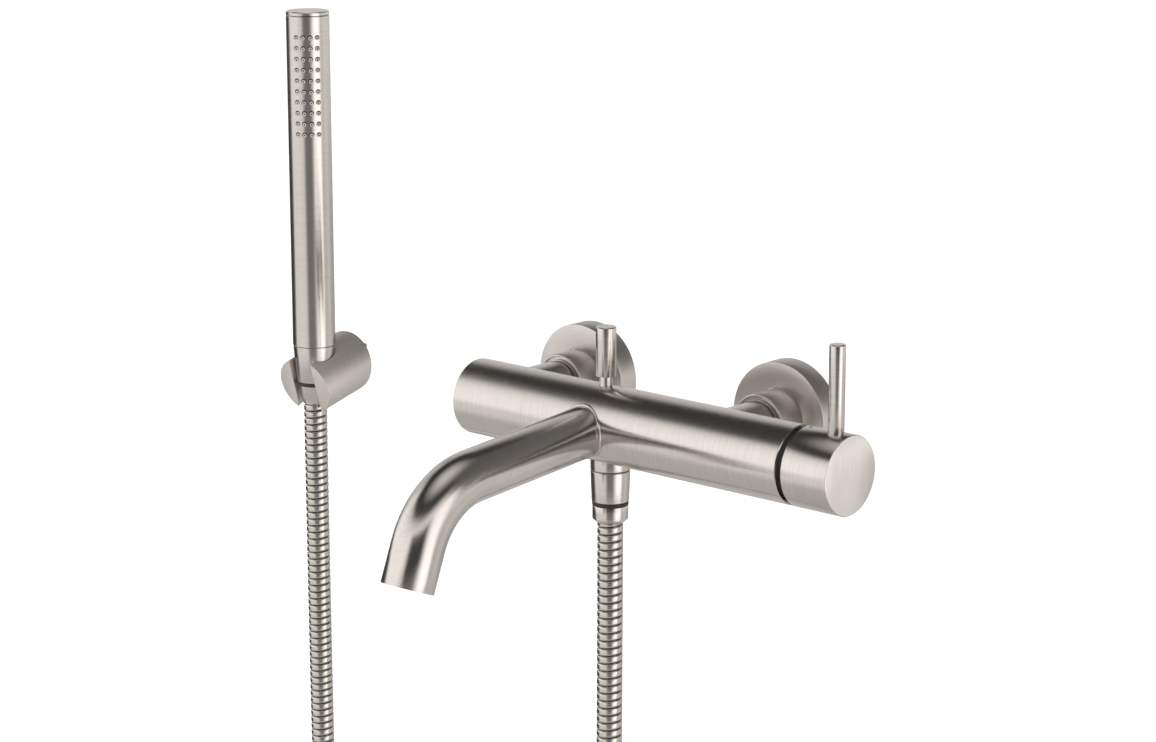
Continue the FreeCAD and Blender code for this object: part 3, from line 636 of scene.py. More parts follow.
@dataclass
class Studio:
    """A pale floor, a soft light and a banded surround that the steel mirrors.

    Attributes:
        floor_drop: How far the floor lies below the hose's lowest point.
        front: Azimuth that the surround's bands are laid out from, in degrees.
        reach: Half the floor's side.
    """

    floor_drop: float = 0.001
    front: float = 44.0
    reach: float = 30.0

    def build(self) -> None:
        """Make the floor, the lights and the surround."""
        scene = bpy.context.scene
        scene.view_settings.view_transform = "Standard"
        self._floor()
        self._surround(scene)
        self._light("key", Vector((0.9, -1.6, 2.6)), 2.3, 40.0)
        self._light("fill", Vector((-1.8, -1.4, 1.8)), 1.2, 70.0)

    def _floor(self) -> None:
        """Make the floor below the hose."""
        bpy.ops.object.select_all(action="DESELECT")
        bpy.ops.mesh.primitive_plane_add(size=2 * self.reach,
                                         location=(0, 0, CAD_BOX[0].z - self.floor_drop))
        floor = active()
        floor.name = "floor"
        material, bench = ShaderBench.material("pale_floor")
        bench.surface({"Base Color": (0.93, 0.925, 0.92, 1.0), "Roughness": 0.9, "Specular IOR Level": 0.0})
        dress(floor, material)
        floor.visible_glossy = False

    def _light(self, name: str, place: Vector, strength: float, spread: float) -> None:
        """Add a broad, even light that comes from one direction.

        Args:
            name: The light's name.
            place: A point that it comes from, seen from the mixer.
            strength: Its strength.
            spread: How many degrees it spans, which softens its shadows.
        """
        data = bpy.data.lights.new(name, "SUN")
        data.energy = strength
        data.angle = math.radians(spread)
        lamp = link(name, data)
        lamp.location = place
        lamp.rotation_euler = (-place).to_track_quat("-Z", "Y").to_euler()
        lamp.visible_glossy = False

    def _surround(self, scene: bpy.types.Scene) -> None:
        """Give the world its light and dark bands, by direction."""
        world = bpy.data.worlds.new("surround")
        scene.world = world
        world.use_nodes = True
        bench = ShaderBench(world.node_tree)
        x, y, z = bench.parts(bench.node("ShaderNodeTexCoord", output="Generated"))
        a = math.radians(self.front)
        toward = x * math.sin(a) - y * math.cos(a)
        aside = x * math.cos(a) + y * math.sin(a)
        turn = aside.angle_to(toward) / (2 * math.pi) + 0.5
        low = bench.ramp(turn, [
            (0.00, 0.06), (0.185, 0.06), (0.215, 0.92), (0.40, 0.95), (0.445, 0.24), (0.53, 0.24),
            (0.60, 1.80), (0.665, 1.80), (0.70, 0.60), (0.74, 0.70), (0.79, 0.80), (0.84, 0.50),
            (1.00, 0.45)])
        level = bench.ramp(turn, [
            (0.00, 0.50), (0.35, 1.10), (0.395, 0.95), (0.42, 0.07), (0.55, 0.05), (0.60, 1.50),
            (0.665, 1.60), (0.71, 0.70), (1.00, 0.50)])
        rise = z * 0.5 + 0.5
        front = bench.ramp(rise, [
            (0.00, 0.50), (0.12, 0.60), (0.40, 0.66), (0.43, 1.10), (0.50, 1.32), (0.66, 1.28),
            (0.75, 1.12), (0.80, 0.92), (0.835, 0.50), (0.86, 0.05), (0.93, 0.04), (0.97, 0.40),
            (1.00, 0.80)])
        left = bench.ramp(rise, [
            (0.00, 0.50), (0.12, 0.60), (0.40, 0.70), (0.70, 0.66), (0.78, 0.46), (0.825, 0.10),
            (0.85, 0.04), (0.93, 0.04), (0.97, 0.40), (1.00, 0.80)])
        right = bench.ramp(rise, [
            (0.00, 0.50), (0.12, 0.60), (0.40, 0.80), (0.44, 0.95), (0.50, 0.90), (0.56, 0.60),
            (0.62, 0.20), (0.93, 0.12), (0.97, 0.40), (1.00, 0.80)])
        to_right = turn.step(0.62, 0.68) * (1.0 - turn.step(0.86, 0.92))
        to_left = turn.step(0.86, 0.92) + 1.0 - turn.step(0.10, 0.15)
        high = front * (1.0 - to_right - to_left) + right * to_right + left * to_left
        sill = bench.ramp(turn, [(0.0, 0.2), (0.16, 0.2), (0.20, 0.0), (0.35, 0.0), (0.385, 1.0),
                                 (0.68, 1.0), (0.72, 0.0)])
        under = 1.0 - (z - sill * 0.62 + 0.15).step(-0.02, 0.02)
        under = under * z.step(-0.62, -0.35)
        lifted = z.step(-0.10, 0.05)
        light = high * (1.0 - under) + (low * (1.0 - lifted) + level * lifted) * under
        seen = bench.node("ShaderNodeLightPath", output="Is Camera Ray")
        glow = light * (1.0 - seen) + seen
        surround = bench.node("ShaderNodeBackground", None, {"Color": (1.0, 0.985, 0.97, 1.0),
                                                             "Strength": glow})
        bench.node("ShaderNodeOutputWorld", None, {"Surface": surround})


# ---------------------------------------------------------------- hose
# Along the way from the outlet (0) to the hand shower (1), and height over the bar's axis.
HOSE_ROUTE: tuple[tuple[float, float], ...] = (
    (0.0, -0.0585), (0.0, -0.240), (0.016, -0.396), (0.105, -0.510), (0.275, -0.587),
    (0.5, -0.615), (0.725, -0.592), (0.9, -0.526), (0.986, -0.421), (1.0, -0.286), (1.0, -0.0475),
)


@dataclass
class Hose:
    """The interlocked metal hose, which hangs in one loop.

    Attributes:
        length: Its real length; not used.
        radius: Its outer radius.
        pitch: From one turn of the strip to the next.
        groove: How deep the groove between two turns is; the hose's material paints shade into it as a dark
            line.
        inset: How far the turns' crowns lie inside the outer radius.
        round_steps: Points round the hose.
        pitch_steps: Points along one pitch.
    """

    length: float = 1.25
    radius: float = 7.5 * MM
    pitch: float = 4.5 * MM
    groove: float = 1.15 * MM
    inset: float = 0.1 * MM
    round_steps: int = 22
    pitch_steps: int = 12

    def build(self, finishes: Finishes) -> Piece:
        start = Vector((*middle("hose_ferrule").xy, middle("handle_cap").z))
        finish = Vector((*middle("hose_cone").xy, start.z))
        points = [start.lerp(finish, share) + Vector((0, 0, height)) for share, height in HOSE_ROUTE]
        line = self._line(points)
        hose = self._tube(line)
        dress(hose, HoseSteelGrooveShade().make())
        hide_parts("shower_hose")
        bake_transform(hose)
        return hose

    @staticmethod
    def _line(points: Sequence[Vector]) -> list[Vector]:
        """Return even points of the smooth curve that the route's points control."""
        data = bpy.data.curves.new("hose_route", "CURVE")
        data.dimensions = "3D"
        data.resolution_u = 64
        spline = data.splines.new("NURBS")
        spline.points.add(len(points) - 1)
        for knot, point in zip(spline.points, points):
            knot.co = (*point, 1.0)
        spline.order_u = 3
        spline.use_endpoint_u = True
        route = link("hose_route", data)
        mesh = bpy.data.meshes.new_from_object(route)
        line = [vertex.co.copy() for vertex in mesh.vertices]
        bpy.data.objects.remove(route, do_unlink=True)
        bpy.data.meshes.remove(mesh)
        return line

    def _tube(self, line: Sequence[Vector]) -> Piece:
        """Make the ridged tube that follows the curve."""
        lengths = [0.0]
        for one, two in zip(line, line[1:]):
            lengths.append(lengths[-1] + (two - one).length)
        total = lengths[-1]
        rings = round(total / self.pitch * self.pitch_steps)
        side = (line[-1] - line[0]).cross(Vector((0, 0, 1))).normalized()
        vertices: list[Vector] = []
        dips: list[float] = []
        piece = 0
        for ring in range(rings + 1):
            along = total * ring / rings
            while piece < len(lengths) - 2 and lengths[piece + 1] < along:
                piece += 1
            span = lengths[piece + 1] - lengths[piece]
            share = (along - lengths[piece]) / span
            centre = line[piece].lerp(line[piece + 1], share)
            before = line[max(piece - 1, 0)] - line[min(piece + 1, len(line) - 1)]
            after = line[piece] - line[min(piece + 2, len(line) - 1)]
            way = before.lerp(after, share).normalized()
            other = way.cross(side).normalized()
            for step in range(self.round_steps):
                angle = 2 * math.pi * step / self.round_steps
                phase = (along / self.pitch + step / self.round_steps) % 1.0
                dip = self._dip(phase)
                dips.append(dip)
                radius = self.radius - self.inset - self.groove * dip
                vertices.append(centre + (side * math.cos(angle) + other * math.sin(angle)) * radius)
        faces = []
        for ring in range(rings):
            for step in range(self.round_steps):
                one = ring * self.round_steps + step
                two = ring * self.round_steps + (step + 1) % self.round_steps
                faces.append((one, two, two + self.round_steps, one + self.round_steps))
        faces.append(tuple(range(self.round_steps - 1, -1, -1)))
        last = rings * self.round_steps
        faces.append(tuple(range(last, last + self.round_steps)))
        mesh = bpy.data.meshes.new("hose")
        mesh.from_pydata(vertices, [], faces)
        mesh.update()
        # The dip attribute also drives the painted shade that darkens the grooves in the hose's material.
        mesh.attributes.new("dip", "FLOAT", "POINT").data.foreach_set("value", dips)
        hose = link("hose", mesh)
        alone(hose)
        bpy.ops.object.mode_set(mode="EDIT")
        outward()
        bpy.ops.object.mode_set(mode="OBJECT")
        smooth(hose, 50)
        return hose

    @staticmethod
    def _dip(phase: float) -> float:
        """Return how deep the strip lies at a place across one turn, from 0 to 1."""
        across = abs(phase - 0.5) * 2
        shoulder = 0.10 * across ** 2
        groove = min(1.0, max(0.0, (across - 0.70) / 0.24))
        return max(shoulder, groove ** 1.3)


@dataclass(frozen=True)
class HoseSteelGrooveShade:
    """Steel strip wound into a hose, with shade painted dark into the grooves between its turns."""

    tint: Triple = (0.62, 0.59, 0.555)

    def make(self) -> bpy.types.Material:
        """Return the material."""
        material, bench = ShaderBench.material("satin_steel_hose_painted_groove_shade")
        spots = bench.noise(bench.place(), 700.0, 2.0)
        dip = bench.node("ShaderNodeAttribute", {"attribute_name": "dip"}, output="Fac")
        dip = dip.step(0.15, 0.95)
        # Painted shade: the colour darkens by up to 70% where the strip dips into a groove.
        colour = bench.tinted(self.tint, (spots * 0.3 + 0.85) * (1.0 - dip * 0.70))
        relief = bench.bump(0.12, 0.1 * MM, spots)
        bench.surface({"Base Color": colour, "Metallic": 1.0,
                       "Roughness": spots * 0.12 + dip * 0.3 + 0.15, "Normal": relief})
        return material


# ---------------------------------------------------------------- the mixer's pieces
BAR_AXIS = Vector((0.0, middle("body_end_plug").y, middle("body_end_plug").z))
OUTLET_AXIS = Vector((*middle("hose_nut").xy, BAR_AXIS.z))
SHOWER_AXIS = Vector((*middle("hand_shower_cap").xy, BAR_AXIS.z))
SPOUT_START = Vector((OUTLET_AXIS.x, BAR_AXIS.y, BAR_AXIS.z))
CAP_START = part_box("handle_cap")[0].x


def mm(outline: Iterable[tuple[float, float]]) -> list[Station]:
    """Return an outline given in millimetres, in metres."""
    return [(along * MM, radius * MM) for along, radius in outline]


def body_of(node: str) -> str:
    """Return the rigid body that a CAD node belongs to."""
    bodies = frame["record"]["behaviour"]["bodies"]
    return next(body for body, nodes in bodies.items() if node in nodes)


def slot_of(node: str) -> str:
    """Return the record's material slot of a CAD node."""
    return next(part["material_slot"] for part in frame["record"]["subparts"] if part["node"] == node)


def fit(piece: Piece, finish: bpy.types.Material, node: str, *more: str) -> None:
    """Dress a piece, put it on its body and let it stand for CAD nodes.

    Args:
        piece: The finished piece.
        finish: Its material.
        node: The node that it replaces, whose body it takes; its material slot is looked up but not used.
        more: Further nodes that it replaces.
    """
    dress(piece, finish)
    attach(piece, body_of(node))
    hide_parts(node, *more)
    slot_of(node)


def union_axis(side: str) -> Vector:
    """Return the point where one side's union axis meets the wall."""
    return Vector((middle("rosette_" + side).x, 0.0, BAR_AXIS.z))


def clear_bar(piece: Piece) -> None:
    """Cut the bar's round out of a piece that stands against it."""
    carve(piece, Lathe(BAR_AXIS, Axis.BAR, 120).solid("bar_room", mm([(-30.0, 22.05), (50.0, 22.05)])))


def ring(lathe: Lathe, node: str, finish: bpy.types.Material, outline: Sequence[tuple[float, float]],
         edge: float = 0.0, steps: int = 2) -> None:
    """Turn a hollow piece and let it stand for the CAD node of its name.

    Args:
        lathe: What turns it.
        node: The node, and the piece's name.
        finish: Its material.
        outline: Its corners in mm, in order; the last one runs back to the first.
        edge: Rounding of the sharp edges in metres, or 0 for none.
        steps: Faces across that rounding.
    """
    fit(lathe.turn(node, mm([*outline, outline[0]]), edge, steps), finish, node)


@dataclass
class WallUnion:
    """One side's rosette, gasket and union nut.

    Attributes:
        side: "left" or "right".
    """

    side: str

    def build(self, finishes: Finishes) -> None:
        """Make the pieces round the union's axis."""
        centre = union_axis(self.side)
        lathe = Lathe(centre, Axis.OUT)
        steel = finishes.steel("rosette_" + self.side, Grain.ROUND_OUT, centre, rough=0.36)
        ring(lathe, "rosette_" + self.side, steel, [
            (0.8, 32.3), (15.1, 32.3), (15.1, 17.4), (13.5, 17.4), (13.5, 30.7), (1.8, 30.7),
            (1.8, 28.1), (0.8, 28.1)], 0.55 * MM, 3)
        ring(lathe, "rosette_gasket_" + self.side, finishes.plain("black_rubber"), [
            (0.0, 31.1), (0.8, 31.1), (0.8, 28.3), (0.0, 28.3)], 0.15 * MM)
        ring(lathe, "union_nut_" + self.side, steel, [
            (12.5, 13.25), (12.5, 17.2), (32.6, 17.2), (33.2, 16.6), (33.2, 15.9), (31.2, 15.9),
            (31.2, 14.0), (33.2, 14.0), (33.2, 12.3), (29.0, 12.3), (29.0, 13.25)], 0.2 * MM)


@dataclass
class MixerBar:
    """The round bar with its two rear bosses, and the plug in its left end.

    Attributes:
        radius: The bar's radius.
        edge: Rounding of its ends.
        bore: Radius of the bore behind the end plug.
        mouth: Radius of the bore at the cap's end.
        depth: How deep that wider bore is.
    """

    radius: float = 22.0 * MM
    edge: float = 0.45 * MM
    bore: float = 18.3 * MM
    mouth: float = 19.0 * MM
    depth: float = 10.0 * MM

    def build(self, finishes: Finishes) -> None:
        """Make the bar and its end plug."""
        low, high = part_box("mixer_body")
        steel = finishes.steel("bar", Grain.ROUND_BAR, BAR_AXIS)
        lathe = Lathe(BAR_AXIS, Axis.BAR, 160)
        e = self.edge
        bar = lathe.turn("mixer_bar", [
            (low.x, self.bore), (low.x, self.radius - e), (low.x + e, self.radius),
            (high.x - e, self.radius), (high.x, self.radius - e), (high.x, self.mouth),
            (high.x - self.depth, self.mouth), (high.x - self.depth, self.bore),
            (low.x, self.bore)], edge=0.0)
        for side in ("left", "right"):
            boss = Lathe(union_axis(side), Axis.OUT, 72).solid("boss_" + side, mm([
                (33.8, 13.1), (34.3, 13.6), (72.0, 13.6)]))
            carve(bar, boss, "UNION")
        neck = Lathe(SPOUT_START, Axis.UP, 48)
        carve(bar, neck.solid("neck_hole", mm([(10.0, 3.9), (26.0, 3.9)])))
        smooth(bar, 28)
        fit(bar, steel, "mixer_body")
        plug = lathe.solid("bar_end_plug", [
            (low.x, 0.0176), (low.x + 0.0004, 0.0180), (low.x + 0.004, 0.0180)])
        fit(plug, finishes.steel("face", Grain.DOWN_FACE, BAR_AXIS), "body_end_plug")


@dataclass
class LeverCap:
    """The round cap, the dark ring behind it, the upright pin and the cold-side mark.

    Attributes:
        radius: The cap's radius.
        cup: Radius of the hollow in its back.
    """

    radius: float = 22.0 * MM
    cup: float = 20.3 * MM

    def build(self, finishes: Finishes) -> None:
        """Make the pieces of the lever that show."""
        start, end = CAP_START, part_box("handle_cap")[1].x
        lathe = Lathe(BAR_AXIS, Axis.BAR, 160)
        cup = lathe.solid("cap_cup", [(start - 0.002, self.cup), (start + 0.0116, self.cup)])
        cap = lathe.solid("lever_cap", [
            (start, self.radius - 0.0005), (start + 0.0005, self.radius),
            (end - 0.0006, self.radius), (end - 0.0002, self.radius - 0.0002),
            (end, self.radius - 0.0006)])
        carve(cap, cup)
        smooth(cap, 28)
        fit(cap, finishes.steel("cap", Grain.ROUND_BAR, BAR_AXIS), "handle_cap")
        self._brush_end_and_paint_light(cap, finishes)
        low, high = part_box("gap_collar")
        collar = lathe.turn("gap_collar", [
            (low.x, 0.0162), (low.x, 0.0185), (high.x - 0.0008, 0.0185), (high.x, 0.0177),
            (high.x, 0.0162), (low.x, 0.0162)], edge=0.0)
        fit(collar, finishes.plain("black_plastic"), "gap_collar")
        self._pin(finishes)
        self._mark(finishes)

    @staticmethod
    def _brush_end_and_paint_light(cap: Piece, finishes: Finishes) -> None:
        """Give the cap's end face its own upright brushing, in a much paler tint of the same steel: painted
        light.
        """
        # Painted light: the tint on this one face is about half as bright again as the other steel's; the
        # upright brushing is real.
        brushed_painted_light = finishes.steel("end_face", Grain.DOWN_FACE, BAR_AXIS, tint=(0.93, 0.875, 0.825),
                                 rough=0.30)
        inlay(cap, brushed_painted_light, lambda face: face.normal.x > 0.9 and face.center.x > CAP_START + 0.02)

    @staticmethod
    def _pin(finishes: Finishes) -> None:
        """Make the upright lever pin."""
        centre = Vector((*middle("lever_pin").xy, BAR_AXIS.z))
        pin = Lathe(centre, Axis.UP, 48).solid("lever_pin", mm([
            (19.6, 4.4), (69.0, 4.4), (69.5, 3.9)]), edge=0.12 * MM)
        fit(pin, finishes.steel("pin", Grain.ROUND_UP, centre), "lever_pin")

    @staticmethod
    def _mark(finishes: Finishes) -> None:
        """Make the small inlaid mark on the cap."""
        centre = Vector((*middle("temperature_mark").xy, BAR_AXIS.z))
        mark = Lathe(centre, Axis.UP, 32).solid("temperature_mark", mm([(21.2, 0.84), (22.08, 0.84)]))
        fit(mark, finishes.plain("blue_mark"), "temperature_mark")


@dataclass
class Diverter:
    """The pull-up knob on top of the bar and its neck."""

    def build(self, finishes: Finishes) -> None:
        """Make the knob and the neck."""
        centre = Vector((*middle("diverter_knob").xy, BAR_AXIS.z))
        steel = finishes.steel("diverter", Grain.ROUND_UP, centre)
        lathe = Lathe(centre, Axis.UP, 56)
        ring(lathe, "diverter_knob", steel, [
            (27.4, 3.7), (27.4, 5.8), (55.1, 5.8), (55.6, 5.3), (55.6, TIP / MM), (39.4, TIP / MM),
            (39.4, 3.7)], 0.12 * MM)
        stem = lathe.solid("diverter_stem", mm([
            (-10.9, 2.0), (-7.9, 2.0), (-7.9, 3.65), (39.3, 3.65)]), edge=0.08 * MM)
        fit(stem, steel, "diverter_stem")
        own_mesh(frame["nodes"]["diverter_spring"])


@dataclass
class ShowerOutlet:
    """The outlet below the bar with the hose's nut, ring seal and ferrule."""

    def build(self, finishes: Finishes) -> None:
        """Make the outlet's pieces from the top down."""
        steel = finishes.steel("outlet", Grain.ROUND_UP, OUTLET_AXIS)
        lathe = Lathe(OUTLET_AXIS, Axis.UP, 80)
        collar = lathe.turn("outlet_collar", mm([
            (-15.4, 8.0), (-15.4, 11.3), (-26.9, 11.3), (-27.3, 10.9), (-27.3, 9.5), (-38.8, 9.5),
            (-38.8, 6.0), (-15.4, 6.0), (-15.4, 8.0)]), edge=0.12 * MM)
        clear_bar(collar)
        smooth(collar)
        fit(collar, steel, "outlet_collar")
        ring(lathe, "hose_nut", steel, [
            (-27.7, 9.6), (-27.7, 11.0), (-28.1, 11.3), (-45.4, 10.6), (-45.8, 10.2), (-45.8, 7.9),
            (-43.2, 7.9), (-43.2, 9.6)], 0.12 * MM)
        ring(lathe, "hose_ring_seal", finishes.plain("black_rubber"), [
            (-45.9, 7.8), (-45.9, 10.2), (-46.3, 10.4), (-47.6, 10.4), (-48.0, 10.2), (-48.0, 7.8)])
        ring(lathe, "hose_ferrule", steel, [
            (-41.1, 4.5), (-41.1, 9.4), (-43.0, 9.4), (-43.0, 7.7), (-48.1, 7.7), (-48.1, 10.2),
            (-56.0, 10.2), (-58.5, 7.5), (-58.5, 4.5)], 0.2 * MM)


@dataclass
class Spout:
    """The bent spout with the aerator in its mouth.

    Attributes:
        radius: The pipe's outer radius.
        wall: Its wall.
        run: Length of the straight part from the bar's axis.
        bend: Radius of the bend.
        tip: Length of the straight end.
        droop: How far the straight part slopes down, in degrees.
        turn: Angle of the bend, in degrees.
        sides: Faces round the pipe.
        bead: Radius of the weld where it leaves the bar.
        bar: Radius on which the weld lies.
    """

    radius: float = 14.6 * MM
    wall: float = 1.5 * MM
    run: float = 110.0 * MM
    bend: float = 48.0 * MM
    tip: float = 23.0 * MM
    droop: float = 4.6
    turn: float = 63.8
    sides: int = 72
    bead: float = 1.0 * MM
    bar: float = 21.8 * MM

    def build(self, finishes: Finishes) -> None:
        """Make the spout and the mouth's ring."""
        outer = self._pipe("spout", self.radius, 0.0)
        inner = self._pipe("spout_inside", self.radius - self.wall, 2 * MM)
        carve(outer, inner)
        clear_bar(outer)
        soften(outer, 0.25 * MM, 2, 50)
        smooth(outer, 30)
        self._seam(outer)
        fit(outer, finishes.steel("spout", Grain.ROUND_OUT, SPOUT_START), "spout_tube")

    def _seam(self, spout: Piece) -> None:
        """Add the smooth weld that runs round the spout where it leaves the bar."""
        lean = math.radians(self.droop)
        way = Vector((0, -math.cos(lean), -math.sin(lean)))
        up = Vector((0, -math.sin(lean), math.cos(lean)))
        data = bpy.data.curves.new("spout_seam", "CURVE")
        data.dimensions = "3D"
        data.bevel_depth = self.bead
        data.bevel_resolution = 4
        spline = data.splines.new("POLY")
        spline.points.add(95)
        for step, point in enumerate(spline.points):
            angle = 2 * math.pi * step / len(spline.points)
            reach = math.sqrt(self.bar ** 2 - (self.radius * math.sin(angle)) ** 2)
            place = (SPOUT_START + Vector((self.radius * math.cos(angle), 0, 0))
                     + up * (self.radius * math.sin(angle)) + way * reach)
            point.co = (*place, 1.0)
        spline.use_cyclic_u = True
        seam = link("spout_seam", data)
        alone(seam)
        bpy.ops.object.convert(target="MESH")
        bpy.ops.object.shade_smooth()
        join(spout, [seam])

    def _pipe(self, name: str, radius: float, over: float) -> Piece:
        """Make a solid bent rod along the spout's line.

        Args:
            name: The piece's name.
            radius: Its radius.
            over: Extra length at the mouth.
        """
        pipe = circle(name, self.sides, radius, turn=Axis.OUT.turn())
        bpy.ops.transform.translate(value=(0, -10 * MM, 0))
        extrude((0, 10 * MM - self.run, 0))
        bpy.ops.mesh.spin(steps=28, angle=-math.radians(self.turn), axis=(1, 0, 0),
                          center=(0, -self.run, -self.bend))
        lean = math.radians(self.turn)
        reach = self.tip + over
        extrude((0, -reach * math.cos(lean), -reach * math.sin(lean)))
        bpy.ops.mesh.select_all(action="SELECT")
        bpy.ops.mesh.remove_doubles(threshold=0.001 * MM)
        outward()
        bpy.ops.object.mode_set(mode="OBJECT")
        settle(pipe, Matrix.Translation(SPOUT_START) @ Matrix.Rotation(math.radians(self.droop), 4, "X"))
        return pipe


@dataclass
class HandShower:
    """The stick-shaped hand shower with four columns of nozzles.

    Attributes:
        radius: The tube's radius.
        rows: Nozzles in a column.
        columns: Number of columns.
        pitch: From one nozzle to the next in a column.
        first: Height of the lowest row over the bar's axis.
        fan: Angle from one column to the next, in degrees.
        spray: Middle of the columns from the front towards the bar, in degrees.
        hole: Outline of a nozzle's hole in the tube.
        nub: Outline of the rubber nozzle in it.
        sag: How far the nozzle sits below the hole's middle.
    """

    radius: float = 13.6 * MM
    rows: int = 10
    columns: int = 4
    pitch: float = 6.77 * MM
    first: float = 128.0 * MM
    fan: float = 19.3
    spray: float = 42.5
    hole: Sequence[Station] = ((-1.2 * MM, TIP), (-1.2 * MM, 1.62 * MM), (0.6 * MM, 1.62 * MM),
                               (0.6 * MM, TIP))
    nub: Sequence[Station] = ((-1.1 * MM, 1.18 * MM), (-0.1 * MM, 1.18 * MM), (0.05 * MM, 1.05 * MM),
                              (0.05 * MM, 0.62 * MM), (-0.1 * MM, 0.56 * MM), (-0.8 * MM, 0.56 * MM),
                              (-0.8 * MM, TIP))
    sag: float = 0.40 * MM

    def build(self, finishes: Finishes) -> None:
        """Make the tube, its cap, its foot and the hose's cone."""
        steel = finishes.steel("shower", Grain.ROUND_UP, SHOWER_AXIS)
        lathe = Lathe(SHOWER_AXIS, Axis.UP, 144)
        tube = lathe.solid("hand_shower_tube", mm([
            (-9.0, 13.3), (-8.7, 13.6), (201.6, 13.6), (201.9, 13.3)]))
        carve(tube, self._nozzles("nozzle_holes", self.hole))
        smooth(tube, 28)
        fit(tube, steel, "hand_shower_tube")
        # rubber colours the real foot ring seal and also the painted shade in the nozzle holes.
        rubber = finishes.plain("black_rubber")
        low = SHOWER_AXIS.z + self.first - 5 * MM
        high = SHOWER_AXIS.z + self.first + self.rows * self.pitch
        # Painted shade: the walls and floor of each nozzle hole in the steel tube take black rubber, so the
        # gap round the nozzle reads dark.
        inlay(tube, rubber, lambda face: low < face.center.z < high and self._sunk(face, 0.15 * MM))
        nubs = self._nozzles("nozzle_nubs", self.nub, self.sag)
        smooth(nubs, 40)
        fit(nubs, finishes.plain("grey_silicone"), "nozzle_sleeve")
        # Painted shade: the nozzle's faces deeper than 0.3 mm, its sides and its orifice, take black
        # rubber.
        inlay(nubs, rubber, lambda face: self._sunk(face, 0.3 * MM))
        cap = lathe.solid("hand_shower_cap", mm([
            (202.2, 13.35), (202.45, 13.6), (204.1, 13.6), (204.6, 13.1)]))
        fit(cap, finishes.steel("top", Grain.DOWN_FACE, SHOWER_AXIS), "hand_shower_cap")
        ring(lathe, "hand_shower_foot", steel, [
            (5.0, 12.0), (-9.2, 12.0), (-9.2, 13.0), (-9.4, 13.3), (-11.0, 13.3), (-32.6, 11.5),
            (-32.9, 11.3), (-32.9, 8.2), (-39.9, 8.2), (-39.9, 4.5), (5.0, 4.5)])
        ring(lathe, "foot_ring_seal", rubber, [
            (-33.0, 8.3), (-33.0, 11.4), (-33.3, 11.6), (-34.8, 11.6), (-35.1, 11.4), (-35.1, 8.3)])
        ring(lathe, "hose_cone", steel, [
            (-35.2, 8.3), (-35.2, 10.7), (-35.4, 10.9), (-43.0, 9.4), (-46.6, 7.5), (-47.5, 7.5),
            (-47.5, 4.5), (-41.5, 4.5), (-41.5, 8.3)])

    def _sunk(self, face: bpy.types.MeshPolygon, depth: float) -> bool:
        """Tell whether a face lies deeper than this below the tube's surface."""
        return (face.center.xy - SHOWER_AXIS.xy).length < self.radius - depth

    def _nozzles(self, name: str, outline: Sequence[Station], sag: float = 0.0) -> Piece:
        """Make one small turned piece at each of the forty nozzles, as one mesh.

        Args:
            name: The mesh's name.
            outline: Its places out from the tube's surface and its radii.
            sag: How far it sits below the nozzle's middle.
        """
        pieces = []
        for column in range(self.columns):
            turn = math.radians(self.spray + (column - (self.columns - 1) / 2) * self.fan)
            way = Vector((math.sin(turn), -math.cos(turn), 0.0))
            for row in range(self.rows):
                height = self.first + row * self.pitch - sag
                place = SHOWER_AXIS + way * self.radius + Vector((0, 0, height))
                piece = Lathe(Vector(), Axis.UP, 24).turn(name, outline, edge=0.0)
                settle(piece, Matrix.Translation(place) @ Matrix.Rotation(turn, 4, "Z")
                       @ Matrix.Rotation(math.radians(90), 4, "X"))
                pieces.append(piece)
        join(pieces[0], pieces)
        return active()


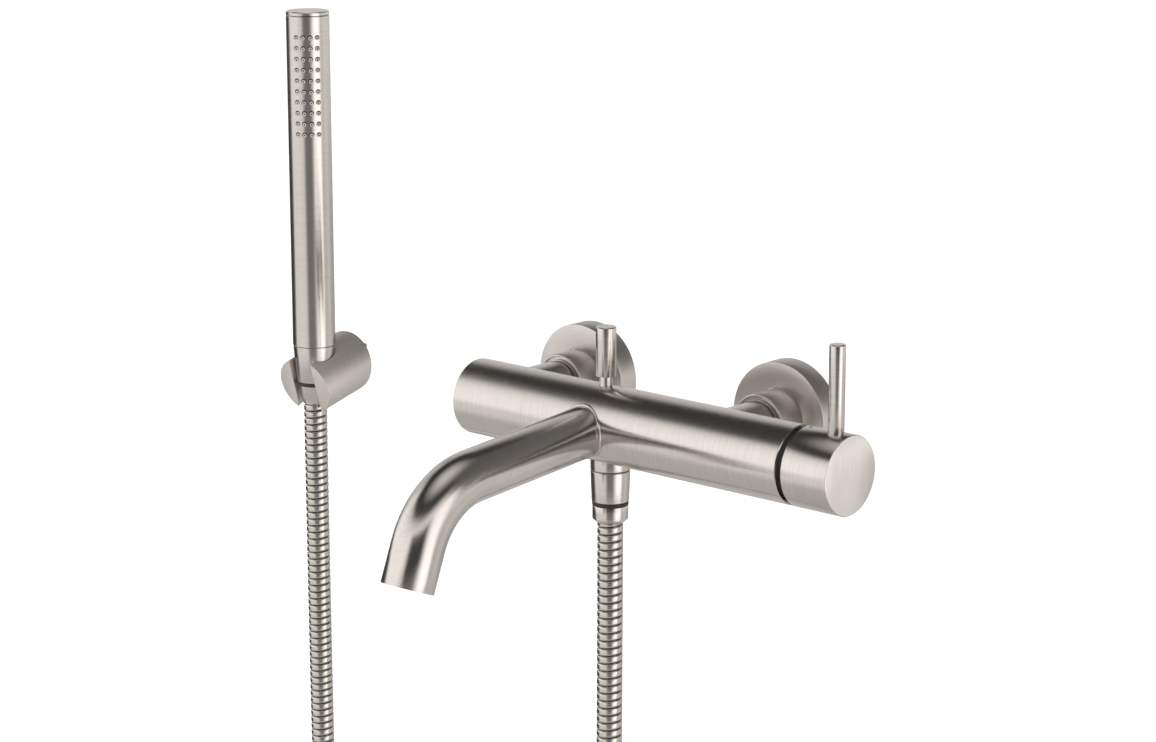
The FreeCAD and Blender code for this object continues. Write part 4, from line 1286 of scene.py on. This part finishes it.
@dataclass
class Holder:
    """The sloping oval holder with the cradle that carries the hand shower's foot.

    Attributes:
        wide: Half its width.
        high: Half its height.
        slope: How far it slopes down to the front, in degrees.
        depth: From the wall to the front of its middle line.
        drop: How far its middle line at the wall lies below the bar's axis.
        slot: Width of the cradle's mouth.
        gap: Between its back edge and the wall.
    """

    wide: float = 22.0 * MM
    high: float = 18.8 * MM
    slope: float = 15.0
    depth: float = 39.0 * MM
    drop: float = 25.0 * MM
    slot: float = 20.0 * MM
    gap: float = 0.6 * MM

    def build(self, finishes: Finishes) -> None:
        """Make the holder's body."""
        body = self._oval("holder_body", 0.0, self.depth)
        self._box_cut(body, (0.08, 0.06, 0.12), SHOWER_AXIS.x, 0.03 - self.gap)
        seat = Lathe(SHOWER_AXIS, Axis.UP, 120).solid("seat", mm([
            (10.0, 15.3), (-11.0, 13.6), (-32.9, 11.8), (-70.0, 11.8)]))
        carve(body, seat)
        self._box_cut(body, (self.slot, 0.04, 0.12), SHOWER_AXIS.x, SHOWER_AXIS.y - 0.02)
        pocket = self._oval("pocket", 2.2 * MM, 0.1)
        self._box_cut(pocket, (0.08, 0.20, 0.20), SHOWER_AXIS.x, -0.107)
        carve(body, pocket)
        soften(body, 0.35 * MM, 3, 35)
        smooth(body, 30)
        centre = Vector((SHOWER_AXIS.x, 0, BAR_AXIS.z - self.drop))
        # Painted light: the holder's tint is about a fifth brighter than the other steel's, a brightening
        # of the whole holder; its higher roughness is real.
        fit(body, finishes.steel("holder", Grain.ROUND_OUT, centre, rough=0.55,
                                 tint=(0.76, 0.715, 0.675)), "holder_body")

    def _oval(self, name: str, trim: float, depth: float) -> Piece:
        """Make the sloping oval bar.

        Args:
            name: The piece's name.
            trim: How much its sides are drawn in.
            depth: From the wall to its front.
        """
        back = 0.03
        lean = math.radians(self.slope)
        oval = circle(name, 144, 1.0)
        bpy.ops.transform.resize(value=(self.wide - trim, self.high - trim, 1))
        extrude((0, 0, (depth + back) / math.cos(lean)))
        outward()
        bpy.ops.object.mode_set(mode="OBJECT")
        start = Vector((SHOWER_AXIS.x, back, BAR_AXIS.z - self.drop + back * math.tan(lean)))
        settle(oval, Matrix.Translation(start) @ Matrix.Rotation(math.radians(90) + lean, 4, "X"))
        return oval

    @staticmethod
    def _box_cut(piece: Piece, size: Triple, x: float, y: float) -> None:
        """Cut an upright box out of a piece.

        Args:
            piece: What is cut.
            size: The box's width, depth and height.
            x: The middle of its width.
            y: The middle of its depth.
        """
        bpy.ops.object.select_all(action="DESELECT")
        bpy.ops.mesh.primitive_cube_add(size=1.0)
        tool = active()
        settle(tool, Matrix.Translation((x, y, BAR_AXIS.z - 0.03)) @ Matrix.Diagonal((*size, 1.0)))
        carve(piece, tool)


def finish_nodes(finishes: Finishes) -> None:
    """Give every CAD node that stays its record's finish."""
    for part in frame["record"]["subparts"]:
        node = frame["nodes"][part["node"]]
        dress(node, finishes.plain(part["material_slot"]))


def main() -> None:
    """Build the camera, the room and the mixer."""
    logging.basicConfig(level=logging.INFO, format="%(message)s")
    finishes = Finishes()
    Camera().build()
    hose = Hose().build(finishes)
    LOG.info("made %s with %d faces", hose.name, len(hose.data.polygons))
    for part in (WallUnion("left"), WallUnion("right"), MixerBar(), LeverCap(), Diverter(),
                 ShowerOutlet(), Spout(), HandShower(), Holder()):
        part.build(finishes)
        LOG.info("made %s", type(part).__name__)
    finish_nodes(finishes)
    Studio().build()


if __name__ == "__main__":
    main()
